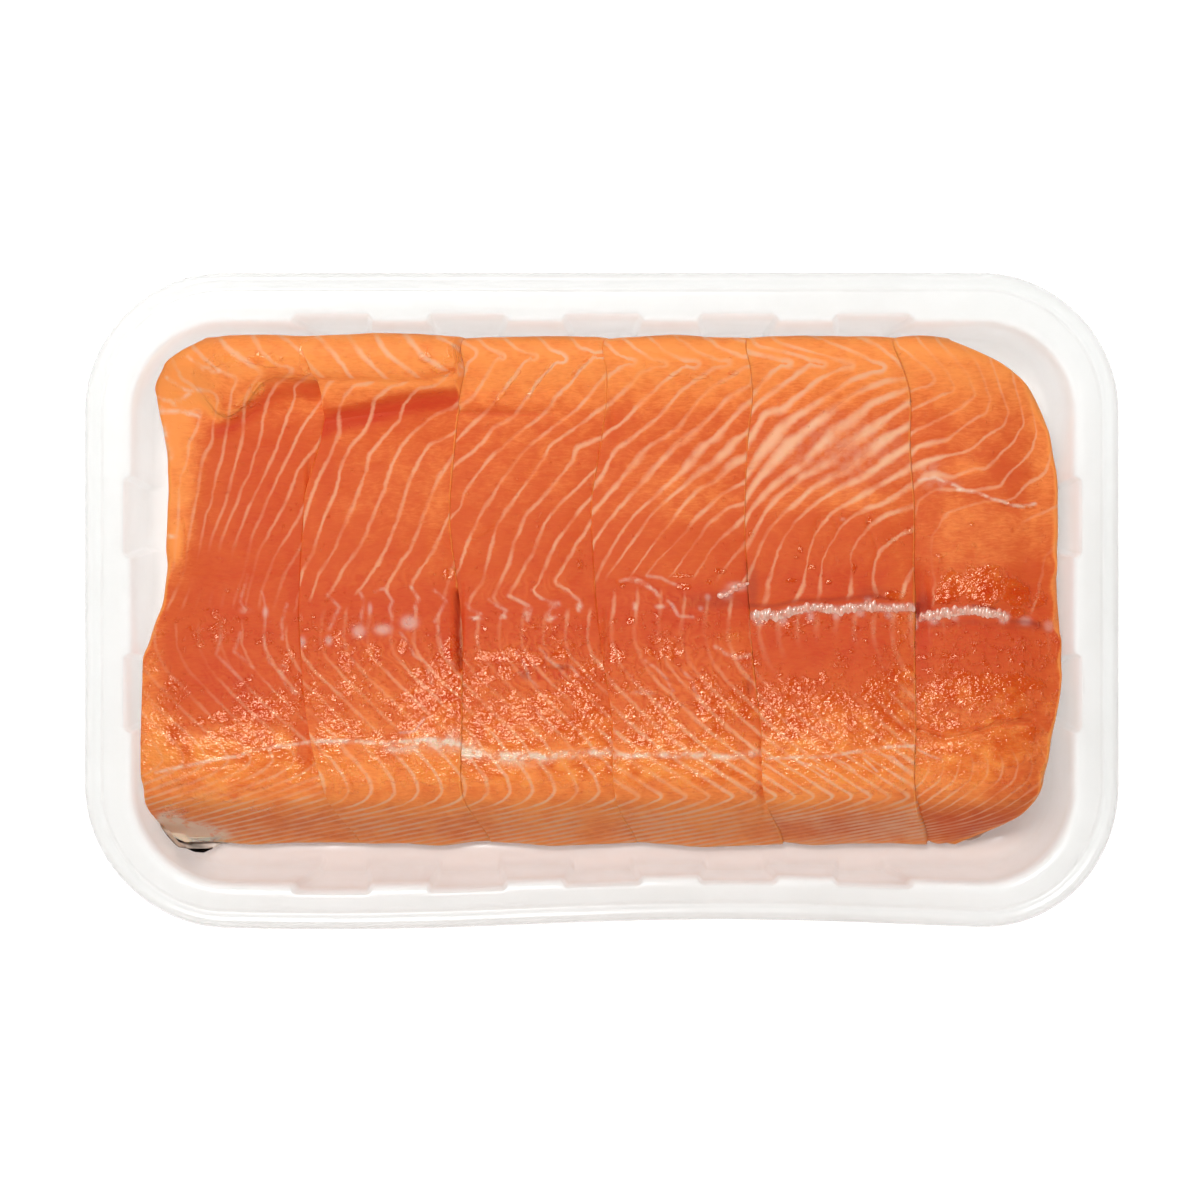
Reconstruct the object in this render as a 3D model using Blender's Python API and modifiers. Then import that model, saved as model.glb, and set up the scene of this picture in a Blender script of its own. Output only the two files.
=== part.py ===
"""A salmon fillet cut into six portions, lying side by side in its plastic tray.

Units are metres, +Z is up. The tray's length lies along X, and the thick back of the
fillet lies towards -Y, so its thin belly leans on the +Y wall. The origin is below the
middle of the tray, on the surface that it stands on. Lists of places are in millimetres.
"""
import math
from typing import NamedTuple

import bmesh
import bpy
import numpy as np

MM = 0.001
OBJECT_NAME = "salmon_fillet_tray"

# Tray.
TRAY_LENGTH = 0.325
TRAY_WIDTH = 0.205
TRAY_CORNER_RADIUS = 0.044
TRAY_THICKNESS = 0.0007
CORNER_STEPS = 9
CAVITY_SHIFT = (0.0003, -0.0010)
RIM_WAVE_HEIGHT = 0.0016
RIM_WAVE_LENGTH = 0.245
RIM_WAVE_CREST_X = -0.085
RIM_WAVE_START_Y = -0.055
RIM_WAVE_RAMP = 0.035
WALL_LOW = 0.004
WALL_RISE = 0.036
FLUTE_DEPTH = 0.0018
FLUTE_RAMP = 0.0022
FLUTE_HALF_WIDTH = 0.0109
FLUTE_TAPER = 0.0024
FLUTE_OUTER_TAPER = 0.0074
LONG_SIDE_FLUTES = 5
LONG_SIDE_PITCH = 0.0425
SHORT_SIDE_FLUTES = 2
SHORT_SIDE_PITCH = 0.0552
SHORT_SIDE_SHIFT = -0.0012

# Tray section from the floor's edge over the rim to the skirt: distance out from the
# corner's centre and height in millimetres, share of the flute's depth, share of the
# cavity's shift. The first rows are the cavity's own.
CAVITY_ROWS = 6
TRAY_SECTION = (
    (17.5, 0.7, 0.0, 1.0),
    (21.4, 1.6, 0.0, 1.0),
    (24.7, 4.3, 0.7, 1.0),
    (26.2, 8.5, 1.0, 1.0),
    (29.1, 40.0, 1.0, 1.0),
    (29.7, 42.0, 1.0, 1.0),
    (31.0, 43.1, 0.5, 0.8),
    (33.4, 43.4, 0.0, 0.5),
    (37.6, 43.4, 0.0, 0.0),
    (38.7, 42.9, 0.0, 0.0),
    (40.0, 43.6, 0.0, 0.0),
    (41.6, 44.0, 0.0, 0.0),
    (43.3, 43.0, 0.0, 0.0),
    (44.0, 39.6, 0.0, 0.0),
)

# Fillet.
CUT_GAP = 0.0005
CUT_LEAN = 0.42
CUT_REFERENCE_HEIGHT = 0.030
TRAY_CLEARANCE = 0.0004
SKIN_THICKNESS = 0.0011
SKIN_GAP = 0.0004
SKIN_REACH_LIMIT = 0.0252
BASE_MARGIN = 0.0030
CROWN = 0.0007
EDGE_LOW = 0.004
EDGE_SHARE = 0.30
EDGE_INNER = 0.30
FACE_RISE = 0.0006
TOP_SHARES = (0.28, 0.5, 0.72)
SECTION_SIDE_STEPS = 3
SECTION_BASE_STEPS = 4
SKIN_LENGTH_STEPS = 14
SKIN_WIDTH_STEPS = 7

# Top of a portion from the belly edge to the back, in millimetres: Y and height of a
# flat belly, Y and height of a belly folded over itself, and Y of the base below.
FILLET_PROFILE = (
    (78.0, 4.2, 78.0, 4.2, 76.4),
    (80.8, 9.0, 81.0, 10.0, 76.0),
    (82.3, 16.0, 82.6, 19.0, 75.4),
    (82.8, 22.5, 83.2, 27.0, 74.6),
    (81.6, 26.4, 82.0, 31.0, 73.8),
    (78.6, 27.8, 79.4, 33.2, 72.8),
    (74.6, 26.8, 75.6, 33.6, 71.4),
    (70.8, 24.6, 71.6, 31.8, 69.4),
    (67.4, 22.6, 69.0, 28.4, 67.0),
    (64.0, 21.2, 68.4, 24.6, 64.0),
    (59.0, 20.2, 64.4, 21.6, 59.6),
    (48.0, 19.8, 50.0, 19.8, 48.6),
    (34.0, 20.4, 34.0, 20.4, 34.0),
    (19.0, 21.8, 19.0, 21.8, 19.0),
    (4.0, 23.6, 4.0, 23.6, 4.0),
    (-10.0, 25.8, -10.0, 25.8, -10.0),
    (-25.0, 28.3, -25.0, 28.3, -25.0),
    (-38.0, 30.4, -38.0, 30.4, -38.0),
    (-49.0, 31.4, -49.0, 31.4, -49.0),
    (-57.0, 31.0, -57.0, 31.0, -57.0),
    (-62.5, 28.8, -62.5, 28.8, -62.0),
    (-67.0, 23.6, -67.0, 23.6, -66.5),
    (-71.0, 17.0, -71.0, 17.0, -70.5),
    (-75.0, 9.6, -75.0, 9.6, -74.0),
    (-78.6, 4.0, -78.6, 4.0, -76.6),
)

# Plan of the six portions, in millimetres, read along Y at the reference height: the
# two free ends' X and the five cuts' X.
PLAN_STATIONS = (82, 74, 66, 50, 30, 5, -20, -45, -60, -70, -79)
LEFT_END = (-128, -139, -147, -145.6, -143.4, -142.8, -147.4, -149.6, -148.2, -144.6, -138.6)
CUT_LINES = (
    (-94.2, -91.6, -91.0, -93.8, -98.6, -98.6, -96.2, -91.2, -88.0, -87.6, -88.6),
    (-46.0, -45.2, -48.2, -51.0, -52.2, -48.8, -45.2, -43.8, -44.2, -45.2, -46.8),
    (-0.8, -0.2, -1.6, -4.4, -7.0, -4.9, -0.3, 4.2, 4.0, 2.2, 0.2),
    (44.4, 45.6, 44.6, 42.4, 41.8, 43.8, 47.0, 51.0, 51.2, 49.8, 47.4),
    (90.6, 93.6, 94.4, 93.8, 95.4, 96.2, 98.0, 99.6, 98.8, 96.6, 93.6),
)
RIGHT_END = (112, 129, 138.5, 145, 147.4, 146.2, 147, 142.8, 140, 134.5, 117)
OUTLINES = (LEFT_END, *CUT_LINES, RIGHT_END)
END_LEAN = -0.12
END_TAPER = 0.0018
END_TAPER_SHARE = 0.6


class Portion(NamedTuple):
    """One portion: its height offset, share of belly folded over, and edge rounding."""

    name: str
    level: float
    fold_left: float
    fold_right: float
    round_left: float
    round_right: float


PORTIONS = (
    Portion("portion_1", 0.0000, 0.45, 1.00, 0.0026, 0.0026),
    Portion("portion_2", 0.0007, 1.00, 0.95, 0.0012, 0.0026),
    Portion("portion_3", 0.0002, 0.20, 0.00, 0.0012, 0.0026),
    Portion("portion_4", 0.0006, 0.00, 0.00, 0.0012, 0.0026),
    Portion("portion_5", 0.0004, 0.05, 0.00, 0.0012, 0.0026),
    Portion("portion_6", -0.0005, 0.00, 0.00, 0.0012, 0.0032),
)

# Where the skin shows past the flesh: portion number, side, and in millimetres the Y of
# the stretch's middle, its half length and how far the skin reaches.
SKIN_SHOWS = (
    (0, -1, -74.0, 12.0, 9.0),
    (5, 1, 71.0, 10.0, 5.0),
    (5, 1, -72.0, 7.0, 5.0),
)


def clear_scene():
    """Remove every object that the new file starts with."""
    for item in list(bpy.data.objects):
        bpy.data.objects.remove(item, do_unlink=True)


def make_material(name, colour, roughness):
    """Return a plain Principled material."""
    material = bpy.data.materials.new(name)
    material.use_nodes = True
    shader = material.node_tree.nodes["Principled BSDF"]
    shader.inputs["Base Color"].default_value = (*colour, 1.0)
    shader.inputs["Roughness"].default_value = roughness
    shader.inputs["Metallic"].default_value = 0.0
    return material


def add_object(name, mesh, collection, material):
    """Link a mesh to the part's collection, shaded smooth with its creases kept.

    The rim bows out on one side only, so everything moves by half of that to put the
    origin below the middle.
    """
    mesh.materials.append(material)
    item = bpy.data.objects.new(name, mesh)
    item.location.y = RIM_WAVE_HEIGHT / 2
    collection.objects.link(item)
    mesh.shade_smooth()
    mesh.set_sharp_from_angle(angle=math.radians(40.0))
    return item


# ---------------------------------------------------------------- tray


def side_stations(count, pitch, low):
    """Return the places along one side as (distance from its middle, flute share)."""
    stations = []
    for index in range(count):
        middle = (index - (count - 1) / 2) * pitch
        narrow = [FLUTE_TAPER * low, FLUTE_TAPER * low]
        if count > SHORT_SIDE_FLUTES and index == 0:
            narrow[0] = FLUTE_OUTER_TAPER * low
        if count > SHORT_SIDE_FLUTES and index == count - 1:
            narrow[1] = FLUTE_OUTER_TAPER * low
        start = middle - FLUTE_HALF_WIDTH + narrow[0]
        end = middle + FLUTE_HALF_WIDTH - narrow[1]
        stations.append((start - FLUTE_RAMP, 0.0))
        stations.append((start, 1.0))
        stations.append((end, 1.0))
        stations.append((end + FLUTE_RAMP, 0.0))
    return stations


def rim_wave(x, y):
    """Return how far the long front side bows out at a place on it."""
    south = max(0.0, min(1.0, (RIM_WAVE_START_Y - y) / RIM_WAVE_RAMP))
    turn = 2.0 * math.pi * (x - RIM_WAVE_CREST_X) / RIM_WAVE_LENGTH
    return south * RIM_WAVE_HEIGHT * math.cos(turn)


def tray_ring(reach, height, flute, cavity):
    """Return one closed outline of the tray, anticlockwise from its +X side."""
    low = 1.0 - min(1.0, max(0.0, (height - WALL_LOW) / WALL_RISE))
    depth = FLUTE_DEPTH * flute
    half_x = TRAY_LENGTH / 2 - TRAY_CORNER_RADIUS
    half_y = TRAY_WIDTH / 2 - TRAY_CORNER_RADIUS
    sides = (
        side_stations(SHORT_SIDE_FLUTES, SHORT_SIDE_PITCH, low),
        side_stations(LONG_SIDE_FLUTES, LONG_SIDE_PITCH, low),
    )
    points = []
    for quarter in range(4):
        turn = quarter * math.pi / 2
        along = (-math.sin(turn), math.cos(turn))
        out = (math.cos(turn), math.sin(turn))
        side_half = half_x if quarter % 2 == 0 else half_y
        for place, share in sides[quarter % 2]:
            far = side_half + reach + depth * share
            x = along[0] * place + out[0] * far
            y = along[1] * place + out[1] * far
            points.append((x, y + abs(out[0]) * SHORT_SIDE_SHIFT))
        centre = (half_x * (1, -1, -1, 1)[quarter], half_y * (1, 1, -1, -1)[quarter])
        for step in range(CORNER_STEPS + 1):
            angle = turn + step / CORNER_STEPS * math.pi / 2
            x = centre[0] + reach * math.cos(angle)
            y = centre[1] + reach * math.sin(angle)
            points.append((x, y))
    waviness = 1.0 - low
    ring = []
    for x, y in points:
        moved_x = x + CAVITY_SHIFT[0] * cavity
        moved_y = y + CAVITY_SHIFT[1] * cavity - rim_wave(x, y) * waviness
        ring.append((moved_x, moved_y, height))
    return ring


def build_tray(collection, material):
    """Loft the tray's upper face through its outlines, then give it its thickness."""
    work = bmesh.new()
    rings = []
    for reach, height, flute, cavity in TRAY_SECTION:
        outline = tray_ring(reach * MM, height * MM, flute, cavity)
        rings.append([work.verts.new(point) for point in outline])
    work.faces.new(rings[0])
    for inner, outer in zip(rings, rings[1:]):
        for index in range(len(inner)):
            after = (index + 1) % len(inner)
            work.faces.new((inner[index], outer[index], outer[after], inner[after]))
    mesh = bpy.data.meshes.new("tray")
    work.to_mesh(mesh)
    work.free()
    tray = add_object("tray", mesh, collection, material)
    shell = tray.modifiers.new("thickness", "SOLIDIFY")
    shell.thickness = TRAY_THICKNESS
    shell.offset = -1.0
    shell.use_even_offset = True
    return tray


# ---------------------------------------------------------------- room inside the tray


def cavity_place(x, y):
    """Return a plan place as its corner centre, the way out from it, and the distance."""
    half_x = TRAY_LENGTH / 2 - TRAY_CORNER_RADIUS
    half_y = TRAY_WIDTH / 2 - TRAY_CORNER_RADIUS
    local_x = x - CAVITY_SHIFT[0]
    local_y = y - CAVITY_SHIFT[1]
    near = (max(-half_x, min(half_x, local_x)), max(-half_y, min(half_y, local_y)))
    away = (local_x - near[0], local_y - near[1])
    return near, away, math.hypot(*away)


def cavity_curve():
    """Return the reaches and heights of the cavity's section, in millimetres."""
    rows = TRAY_SECTION[:CAVITY_ROWS]
    return [row[0] for row in rows], [row[1] for row in rows]


def floor_height(x, y, margin=0.0):
    """Return the height of the tray's upper face a margin further out than a place."""
    reaches, heights = cavity_curve()
    reach = min(SKIN_REACH_LIMIT, cavity_place(x, y)[2] + margin)
    return float(np.interp(reach / MM, reaches, heights)) * MM


def keep_inside(point):
    """Pull a point back from the tray's wall to the clearance."""
    x, y, z = point
    near, away, distance = cavity_place(x, y)
    reaches, heights = cavity_curve()
    room = float(np.interp(z / MM, heights, reaches)) * MM - TRAY_CLEARANCE
    if distance <= room:
        return point
    share = room / distance
    moved_x = near[0] + away[0] * share + CAVITY_SHIFT[0]
    moved_y = near[1] + away[1] * share + CAVITY_SHIFT[1]
    return moved_x, moved_y, z


# ---------------------------------------------------------------- fillet


def side_x(number, side, y, z):
    """Return the X of a portion's left (-1) or right (1) side at a place."""
    line = OUTLINES[number if side < 0 else number + 1]
    stations = [-place for place in PLAN_STATIONS]
    x = float(np.interp(-y / MM, stations, line)) * MM
    last = side > 0 and number == len(PORTIONS) - 1
    first = side < 0 and number == 0
    lean = END_LEAN if last else CUT_LEAN
    gap = 0.0 if first or last else CUT_GAP / 2
    return x + lean * (CUT_REFERENCE_HEIGHT - z) - side * gap


def profile_place(row, fold):
    """Return Y and height of the top and Y of the base for a share of folding."""
    flat_y, flat_z, fold_y, fold_z, base_y = row
    y = flat_y + (fold_y - flat_y) * fold
    z = flat_z + (fold_z - flat_z) * fold
    return y * MM, z * MM, base_y * MM


def profile_normal(index, fold):
    """Return the outward direction of the top profile at one of its rows."""
    before = profile_place(FILLET_PROFILE[max(0, index - 1)], fold)
    after = profile_place(FILLET_PROFILE[min(len(FILLET_PROFILE) - 1, index + 1)], fold)
    run = after[0] - before[0]
    rise = after[1] - before[1]
    length = math.hypot(run, rise)
    return rise / length, -run / length


def row_room(index, fold):
    """Return the largest rounding that the rows of the profile leave room for."""
    here = profile_place(FILLET_PROFILE[index], fold)
    room = EDGE_SHARE * max(0.0, here[1] - EDGE_LOW)
    for other in (index - 1, index + 1):
        if 0 <= other < len(FILLET_PROFILE):
            near = profile_place(FILLET_PROFILE[other], fold)
            room = min(room, EDGE_SHARE * math.hypot(near[0] - here[0], near[1] - here[1]))
    return room


def end_taper(number, across):
    """Return how far the first and last portions fall away at their free ends."""
    if number == 0:
        return END_TAPER * max(0.0, 1.0 - across / END_TAPER_SHARE) ** 2
    if number == len(PORTIONS) - 1:
        return END_TAPER * max(0.0, 1.0 - (1.0 - across) / END_TAPER_SHARE) ** 2
    return 0.0


def base_height(x, y):
    """Return the height of the flesh's base, above the skin and clear of the tray."""
    under = SKIN_THICKNESS + SKIN_GAP
    return floor_height(x, y, BASE_MARGIN) + TRAY_CLEARANCE + under


def top_places(round_left, round_right):
    """Return places across the top: share, run in from the side, and drop at the edge."""
    inner_left = EDGE_INNER * round_left
    inner_right = EDGE_INNER * round_right
    places = [(0.0, 0.0, round_left), (0.0, inner_left, inner_left)]
    places.append((0.0, round_left, 0.0))
    for share in TOP_SHARES:
        places.append((share, 0.0, 0.0))
    places.append((1.0, -round_right, 0.0))
    places.append((1.0, -inner_right, inner_right))
    places.append((1.0, 0.0, round_right))
    return places


def top_point(number, index, place):
    """Return one point on the top of a portion's cross-section."""
    portion = PORTIONS[number]
    share, run, drop = place
    fold = portion.fold_left + (portion.fold_right - portion.fold_left) * share
    y, z, base_y = profile_place(FILLET_PROFILE[index], fold)
    out_y, out_z = profile_normal(index, fold)
    swell = CROWN * (1.0 - (2.0 * share - 1.0) ** 2) - min(drop, row_room(index, fold))
    height_share = min(1.0, z / CUT_REFERENCE_HEIGHT)
    z += (portion.level - end_taper(number, share)) * height_share
    z += swell * out_z
    y += swell * out_y
    left = side_x(number, -1, y, z)
    right = side_x(number, 1, y, z)
    x = left + (right - left) * share + run
    return x, y, max(z, base_height(x, base_y) + FACE_RISE)


def section_points(number, index):
    """Return one closed cross-section of a portion, looking along +Y."""
    row = FILLET_PROFILE[index]
    top_y = row[0] * MM
    base_y = row[4] * MM
    portion = PORTIONS[number]
    width = side_x(number, 1, top_y, 0.0) - side_x(number, -1, top_y, 0.0)
    round_left = min(portion.round_left, EDGE_SHARE * width)
    round_right = min(portion.round_right, EDGE_SHARE * width)
    top = []
    for place in top_places(round_left, round_right):
        top.append(top_point(number, index, place))
    left_wall = side_points(number, -1, top[0], base_y)
    right_wall = side_points(number, 1, top[-1], base_y)
    base = base_points(left_wall[-1], right_wall[-1])
    loop = top + right_wall + base[::-1] + left_wall[::-1]
    return [keep_inside(point) for point in loop]


def side_points(number, side, edge, base_y):
    """Return the points down one side, from below its top edge to the base."""
    _, edge_y, edge_z = edge
    foot_x = side_x(number, side, base_y, 0.0)
    foot_z = base_height(foot_x, base_y)
    points = []
    for step in range(1, SECTION_SIDE_STEPS + 1):
        share = step / SECTION_SIDE_STEPS
        y = edge_y + (base_y - edge_y) * share
        z = edge_z + (foot_z - edge_z) * share
        points.append((side_x(number, side, y, z), y, z))
    return points


def base_points(left, right):
    """Return the inner points of a section's base, between its two feet."""
    points = []
    for step in range(1, SECTION_BASE_STEPS):
        share = step / SECTION_BASE_STEPS
        x = left[0] + (right[0] - left[0]) * share
        y = left[1] + (right[1] - left[1]) * share
        points.append((x, y, base_height(x, y)))
    return points


def loft(sections):
    """Return a closed mesh through equal closed sections, with both ends capped."""
    work = bmesh.new()
    rings = []
    for section in sections:
        rings.append([work.verts.new(point) for point in section])
    for first, second in zip(rings, rings[1:]):
        for index in range(len(first)):
            after = (index + 1) % len(first)
            work.faces.new((first[index], first[after], second[after], second[index]))
    work.faces.new(rings[0][::-1])
    work.faces.new(rings[-1])
    bmesh.ops.recalc_face_normals(work, faces=work.faces)
    mesh = bpy.data.meshes.new("loft")
    work.to_mesh(mesh)
    work.free()
    return mesh


def build_flesh(number, collection, material):
    """Build one portion's flesh from its sections."""
    sections = []
    for index in range(len(FILLET_PROFILE)):
        sections.append(section_points(number, index))
    mesh = loft(sections)
    return add_object(PORTIONS[number].name + "_flesh", mesh, collection, material)


def skin_reach(number, side, y):
    """Return how far the skin shows past one side of the flesh."""
    reach = 0.0
    for shown_number, shown_side, middle, half, longest in SKIN_SHOWS:
        if (shown_number, shown_side) == (number, side):
            reach += longest * max(0.0, 1.0 - abs(y / MM - middle) / half)
    return reach * MM


def build_skin(number, collection, material):
    """Build the skin below one portion, lying on the tray's floor."""
    first_y = FILLET_PROFILE[0][4] * MM
    last_y = FILLET_PROFILE[-1][4] * MM
    sections = []
    for step in range(SKIN_LENGTH_STEPS + 1):
        y = first_y + (last_y - first_y) * step / SKIN_LENGTH_STEPS
        left = side_x(number, -1, y, 0.0) - skin_reach(number, -1, y)
        right = side_x(number, 1, y, 0.0) + skin_reach(number, 1, y)
        upper = []
        lower = []
        for place in range(SKIN_WIDTH_STEPS + 1):
            share = 0.5 - 0.5 * math.cos(math.pi * place / SKIN_WIDTH_STEPS)
            x = left + (right - left) * share
            low = floor_height(x, y) + TRAY_CLEARANCE
            lower.append(keep_inside((x, y, low)))
            upper.append(keep_inside((x, y, low + SKIN_THICKNESS)))
        sections.append(upper + lower[::-1])
    mesh = loft(sections)
    return add_object(PORTIONS[number].name + "_skin", mesh, collection, material)


def main():
    """Build the tray, the six portions and their skin."""
    clear_scene()
    collection = bpy.data.collections.new(OBJECT_NAME)
    bpy.context.scene.collection.children.link(collection)
    plastic = make_material("tray plastic", (0.86, 0.86, 0.84), 0.25)
    flesh = make_material("salmon flesh", (0.75, 0.16, 0.05), 0.30)
    skin = make_material("salmon skin", (0.45, 0.44, 0.42), 0.35)
    build_tray(collection, plastic)
    for number in range(len(PORTIONS)):
        build_flesh(number, collection, flesh)
        build_skin(number, collection, skin)


if __name__ == "__main__":
    main()
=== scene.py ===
"""A salmon fillet in six portions, lying in its plastic tray, dressed for a view from above.

Units are metres and +Z is up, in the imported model's frame. Lists of places are in
millimetres: X along the tray, Y from the thick back of the fillet towards its belly.
"""
import logging
import math
from collections.abc import Callable, Sequence
from dataclasses import dataclass, field
from enum import Enum
from functools import cache

import bpy
import numpy as np
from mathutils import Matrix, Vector
from mathutils.bvhtree import BVHTree


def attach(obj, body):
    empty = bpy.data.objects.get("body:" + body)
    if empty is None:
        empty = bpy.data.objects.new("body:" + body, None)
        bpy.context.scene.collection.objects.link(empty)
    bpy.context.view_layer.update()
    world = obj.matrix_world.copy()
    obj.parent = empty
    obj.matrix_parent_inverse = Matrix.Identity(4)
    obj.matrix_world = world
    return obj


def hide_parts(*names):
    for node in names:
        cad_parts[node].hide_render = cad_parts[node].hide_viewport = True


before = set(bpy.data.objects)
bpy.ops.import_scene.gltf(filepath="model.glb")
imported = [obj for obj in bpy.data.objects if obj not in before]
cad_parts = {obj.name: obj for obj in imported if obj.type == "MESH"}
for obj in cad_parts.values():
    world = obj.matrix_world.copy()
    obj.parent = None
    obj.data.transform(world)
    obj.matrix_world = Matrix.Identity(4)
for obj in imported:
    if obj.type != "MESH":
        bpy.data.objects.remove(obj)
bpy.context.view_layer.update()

MM = 0.001
TINY = 1e-9
BODY = "root"
LOG = logging.getLogger("salmon_tray")

Place = tuple[float, float]
Line = Sequence[Place]
Colour = tuple[float, float, float]
Array = np.ndarray
Item = bpy.types.Object
Tree = bpy.types.NodeTree
Node = bpy.types.Node
Socket = bpy.types.NodeSocket
Value = Socket | float | Sequence[float]


class Side(Enum):
    """The side of a portion, seen from above with the belly at the top."""

    LEFT = -1
    RIGHT = 1


class Slot(Enum):
    """The record's material slots."""

    TRAY = "tray_plastic"
    FLESH = "flesh"
    SKIN = "skin"


# ---------------- numbers and noise


def srgb(red: float, green: float, blue: float) -> tuple[float, float, float, float]:
    """Return a colour given in the eight-bit scale of a screen as linear RGBA.

    Args:
        red: Red, 0 to 255.
        green: Green, 0 to 255.
        blue: Blue, 0 to 255.

    Returns:
        The linear colour with an alpha of one.
    """
    linear = []
    for value in (red, green, blue):
        share = value / 255.0
        low = share / 12.92
        high = ((share + 0.055) / 1.055) ** 2.4
        linear.append(low if share <= 0.04045 else high)
    return (linear[0], linear[1], linear[2], 1.0)


def ease(value: Array) -> Array:
    """Return a smooth step of values, flat below zero and above one."""
    share = np.clip(value, 0.0, 1.0)
    return share * share * (3.0 - 2.0 * share)


@dataclass(frozen=True)
class Band:
    """A stretch across the fillet, between two Y, that fades at both. In millimetres."""

    low: float
    low_fade: float
    high: float
    high_fade: float

    def __call__(self, y: Array) -> Array:
        """Return the band's share at places."""
        return ease((y - self.low) / self.low_fade) * ease((self.high - y) / self.high_fade)


def smooth_curve(at: Array, places: Array, values: Array) -> Array:
    """Interpolate with a smooth curve that doesn't overshoot its points.

    Args:
        at: Where to read the curve.
        places: The points' places, rising.
        values: The points' values, one row per point.

    Returns:
        The curve's values at each place asked for.
    """
    places = np.asarray(places, float)
    values = np.asarray(values, float)
    steps = np.diff(places)
    shape = (-1,) + (1,) * (values.ndim - 1)
    slopes = np.diff(values, axis=0) / steps.reshape(shape)
    before, after = slopes[:-1], slopes[1:]
    same = before * after > 0.0
    total = np.where(same, before + after, 1.0)
    middle = np.where(same, 2.0 * before * after / total, 0.0)
    tangents = np.concatenate([slopes[:1], middle, slopes[-1:]])
    at = np.clip(np.asarray(at, float), places[0], places[-1])
    index = np.clip(np.searchsorted(places, at, side="right") - 1, 0, len(steps) - 1)
    size = steps[index]
    share = (at - places[index]) / size
    extra = share.shape + (1,) * (values.ndim - 1)
    size, share = size.reshape(extra), share.reshape(extra)
    cube, square = share**3, share**2
    return (
        (2 * cube - 3 * square + 1) * values[index]
        + (cube - 2 * square + share) * size * tangents[index]
        + (3 * square - 2 * cube) * values[index + 1]
        + (cube - square) * size * tangents[index + 1]
    )


def follow(line: Line, at: Array) -> Array:
    """Return a smooth curve through a line's points, read at their first number."""
    return smooth_curve(at, *np.array(line, float).T)


@dataclass(frozen=True)
class Noise:
    """Smooth, repeatable unevenness between minus one and one on the plan of the object."""

    seed: int
    cells: int = 128

    def __call__(self, x: Array, y: Array, size: float, stretch: float = 1.0) -> Array:
        """Return the unevenness at places.

        Args:
            x: X in metres.
            y: Y in metres.
            size: Size of one bump in metres.
            stretch: How many times longer a bump is along X.

        Returns:
            One value per place.
        """
        table = np.random.default_rng(self.seed).uniform(-1.0, 1.0, (self.cells,) * 2)
        across = np.asarray(x) / (size * stretch) + 37.3
        along = np.asarray(y) / size + 51.7
        column, row = np.floor(across).astype(int), np.floor(along).astype(int)
        right, up = ease(across - column), ease(along - row)
        column, row = column % self.cells, row % self.cells
        next_column, next_row = (column + 1) % self.cells, (row + 1) % self.cells
        low = table[row, column] * (1 - right) + table[row, next_column] * right
        high = table[next_row, column] * (1 - right) + table[next_row, next_column] * right
        return low * (1 - up) + high * up


# ---------------- marks on the fillet


def trace(*numbers: float) -> Line:
    """Return a line from its points' X and Y, one after the other."""
    return tuple(zip(numbers[::2], numbers[1::2]))


def traces(*rows: Sequence[float]) -> tuple[Line, ...]:
    """Return lines, each from its own row of numbers."""
    return tuple(trace(*row) for row in rows)


@dataclass(frozen=True)
class Patch:
    """A soft oval mark. Places and sizes are in millimetres."""

    x: float
    y: float
    half_x: float
    half_y: float
    amount: float = 1.0
    fall: float = 1.4

    def strength(self, x: Array, y: Array) -> Array:
        """Return the mark's amount at places in millimetres."""
        reach = ((x - self.x) / self.half_x) ** 2 + ((y - self.y) / self.half_y) ** 2
        return self.amount * np.exp(-self.fall * reach**1.5)


@dataclass(frozen=True)
class Stroke:
    """A mark along a line. Places and widths are in millimetres."""

    line: Line
    half_width: float
    amount: float = 1.0
    fade: float = 1.0

    def strength(self, x: Array, y: Array) -> Array:
        """Return the mark's amount at places.

        Args:
            x: X in millimetres.
            y: Y in millimetres.

        Returns:
            One amount per place.
        """
        distance = np.full(np.shape(x), math.inf)
        for start, end in zip(self.line, self.line[1:]):
            run, rise = end[0] - start[0], end[1] - start[1]
            length = run * run + rise * rise
            share = ((x - start[0]) * run + (y - start[1]) * rise) / length
            share = np.clip(share, 0.0, 1.0)
            away = np.hypot(x - start[0] - share * run, y - start[1] - share * rise)
            distance = np.minimum(distance, away)
        edge = (distance - self.half_width) / (self.fade * self.half_width)
        return self.amount * (1.0 - ease(0.5 + 0.5 * edge))


Marks = Sequence[Patch | Stroke]


def marks(*rows: Sequence) -> Marks:
    """Return patches and strokes.

    Args:
        *rows: A patch's middle, half sizes and amount, or a stroke's line, as in trace, its
            half width, amount and fade.

    Returns:
        The marks in the rows' order.
    """
    made = []
    for first, *others in rows:
        line = isinstance(first, tuple)
        made.append(Stroke(trace(*first), *others) if line else Patch(first, *others))
    return tuple(made)


def total(given: Marks, x: Array, y: Array) -> Array:
    """Return the sum of marks.

    Args:
        given: The marks.
        x: X in millimetres.
        y: Y in millimetres.

    Returns:
        One amount per place.
    """
    amount = np.zeros(np.shape(x))
    for mark in given:
        amount = amount + mark.strength(x, y)
    return amount


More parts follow.
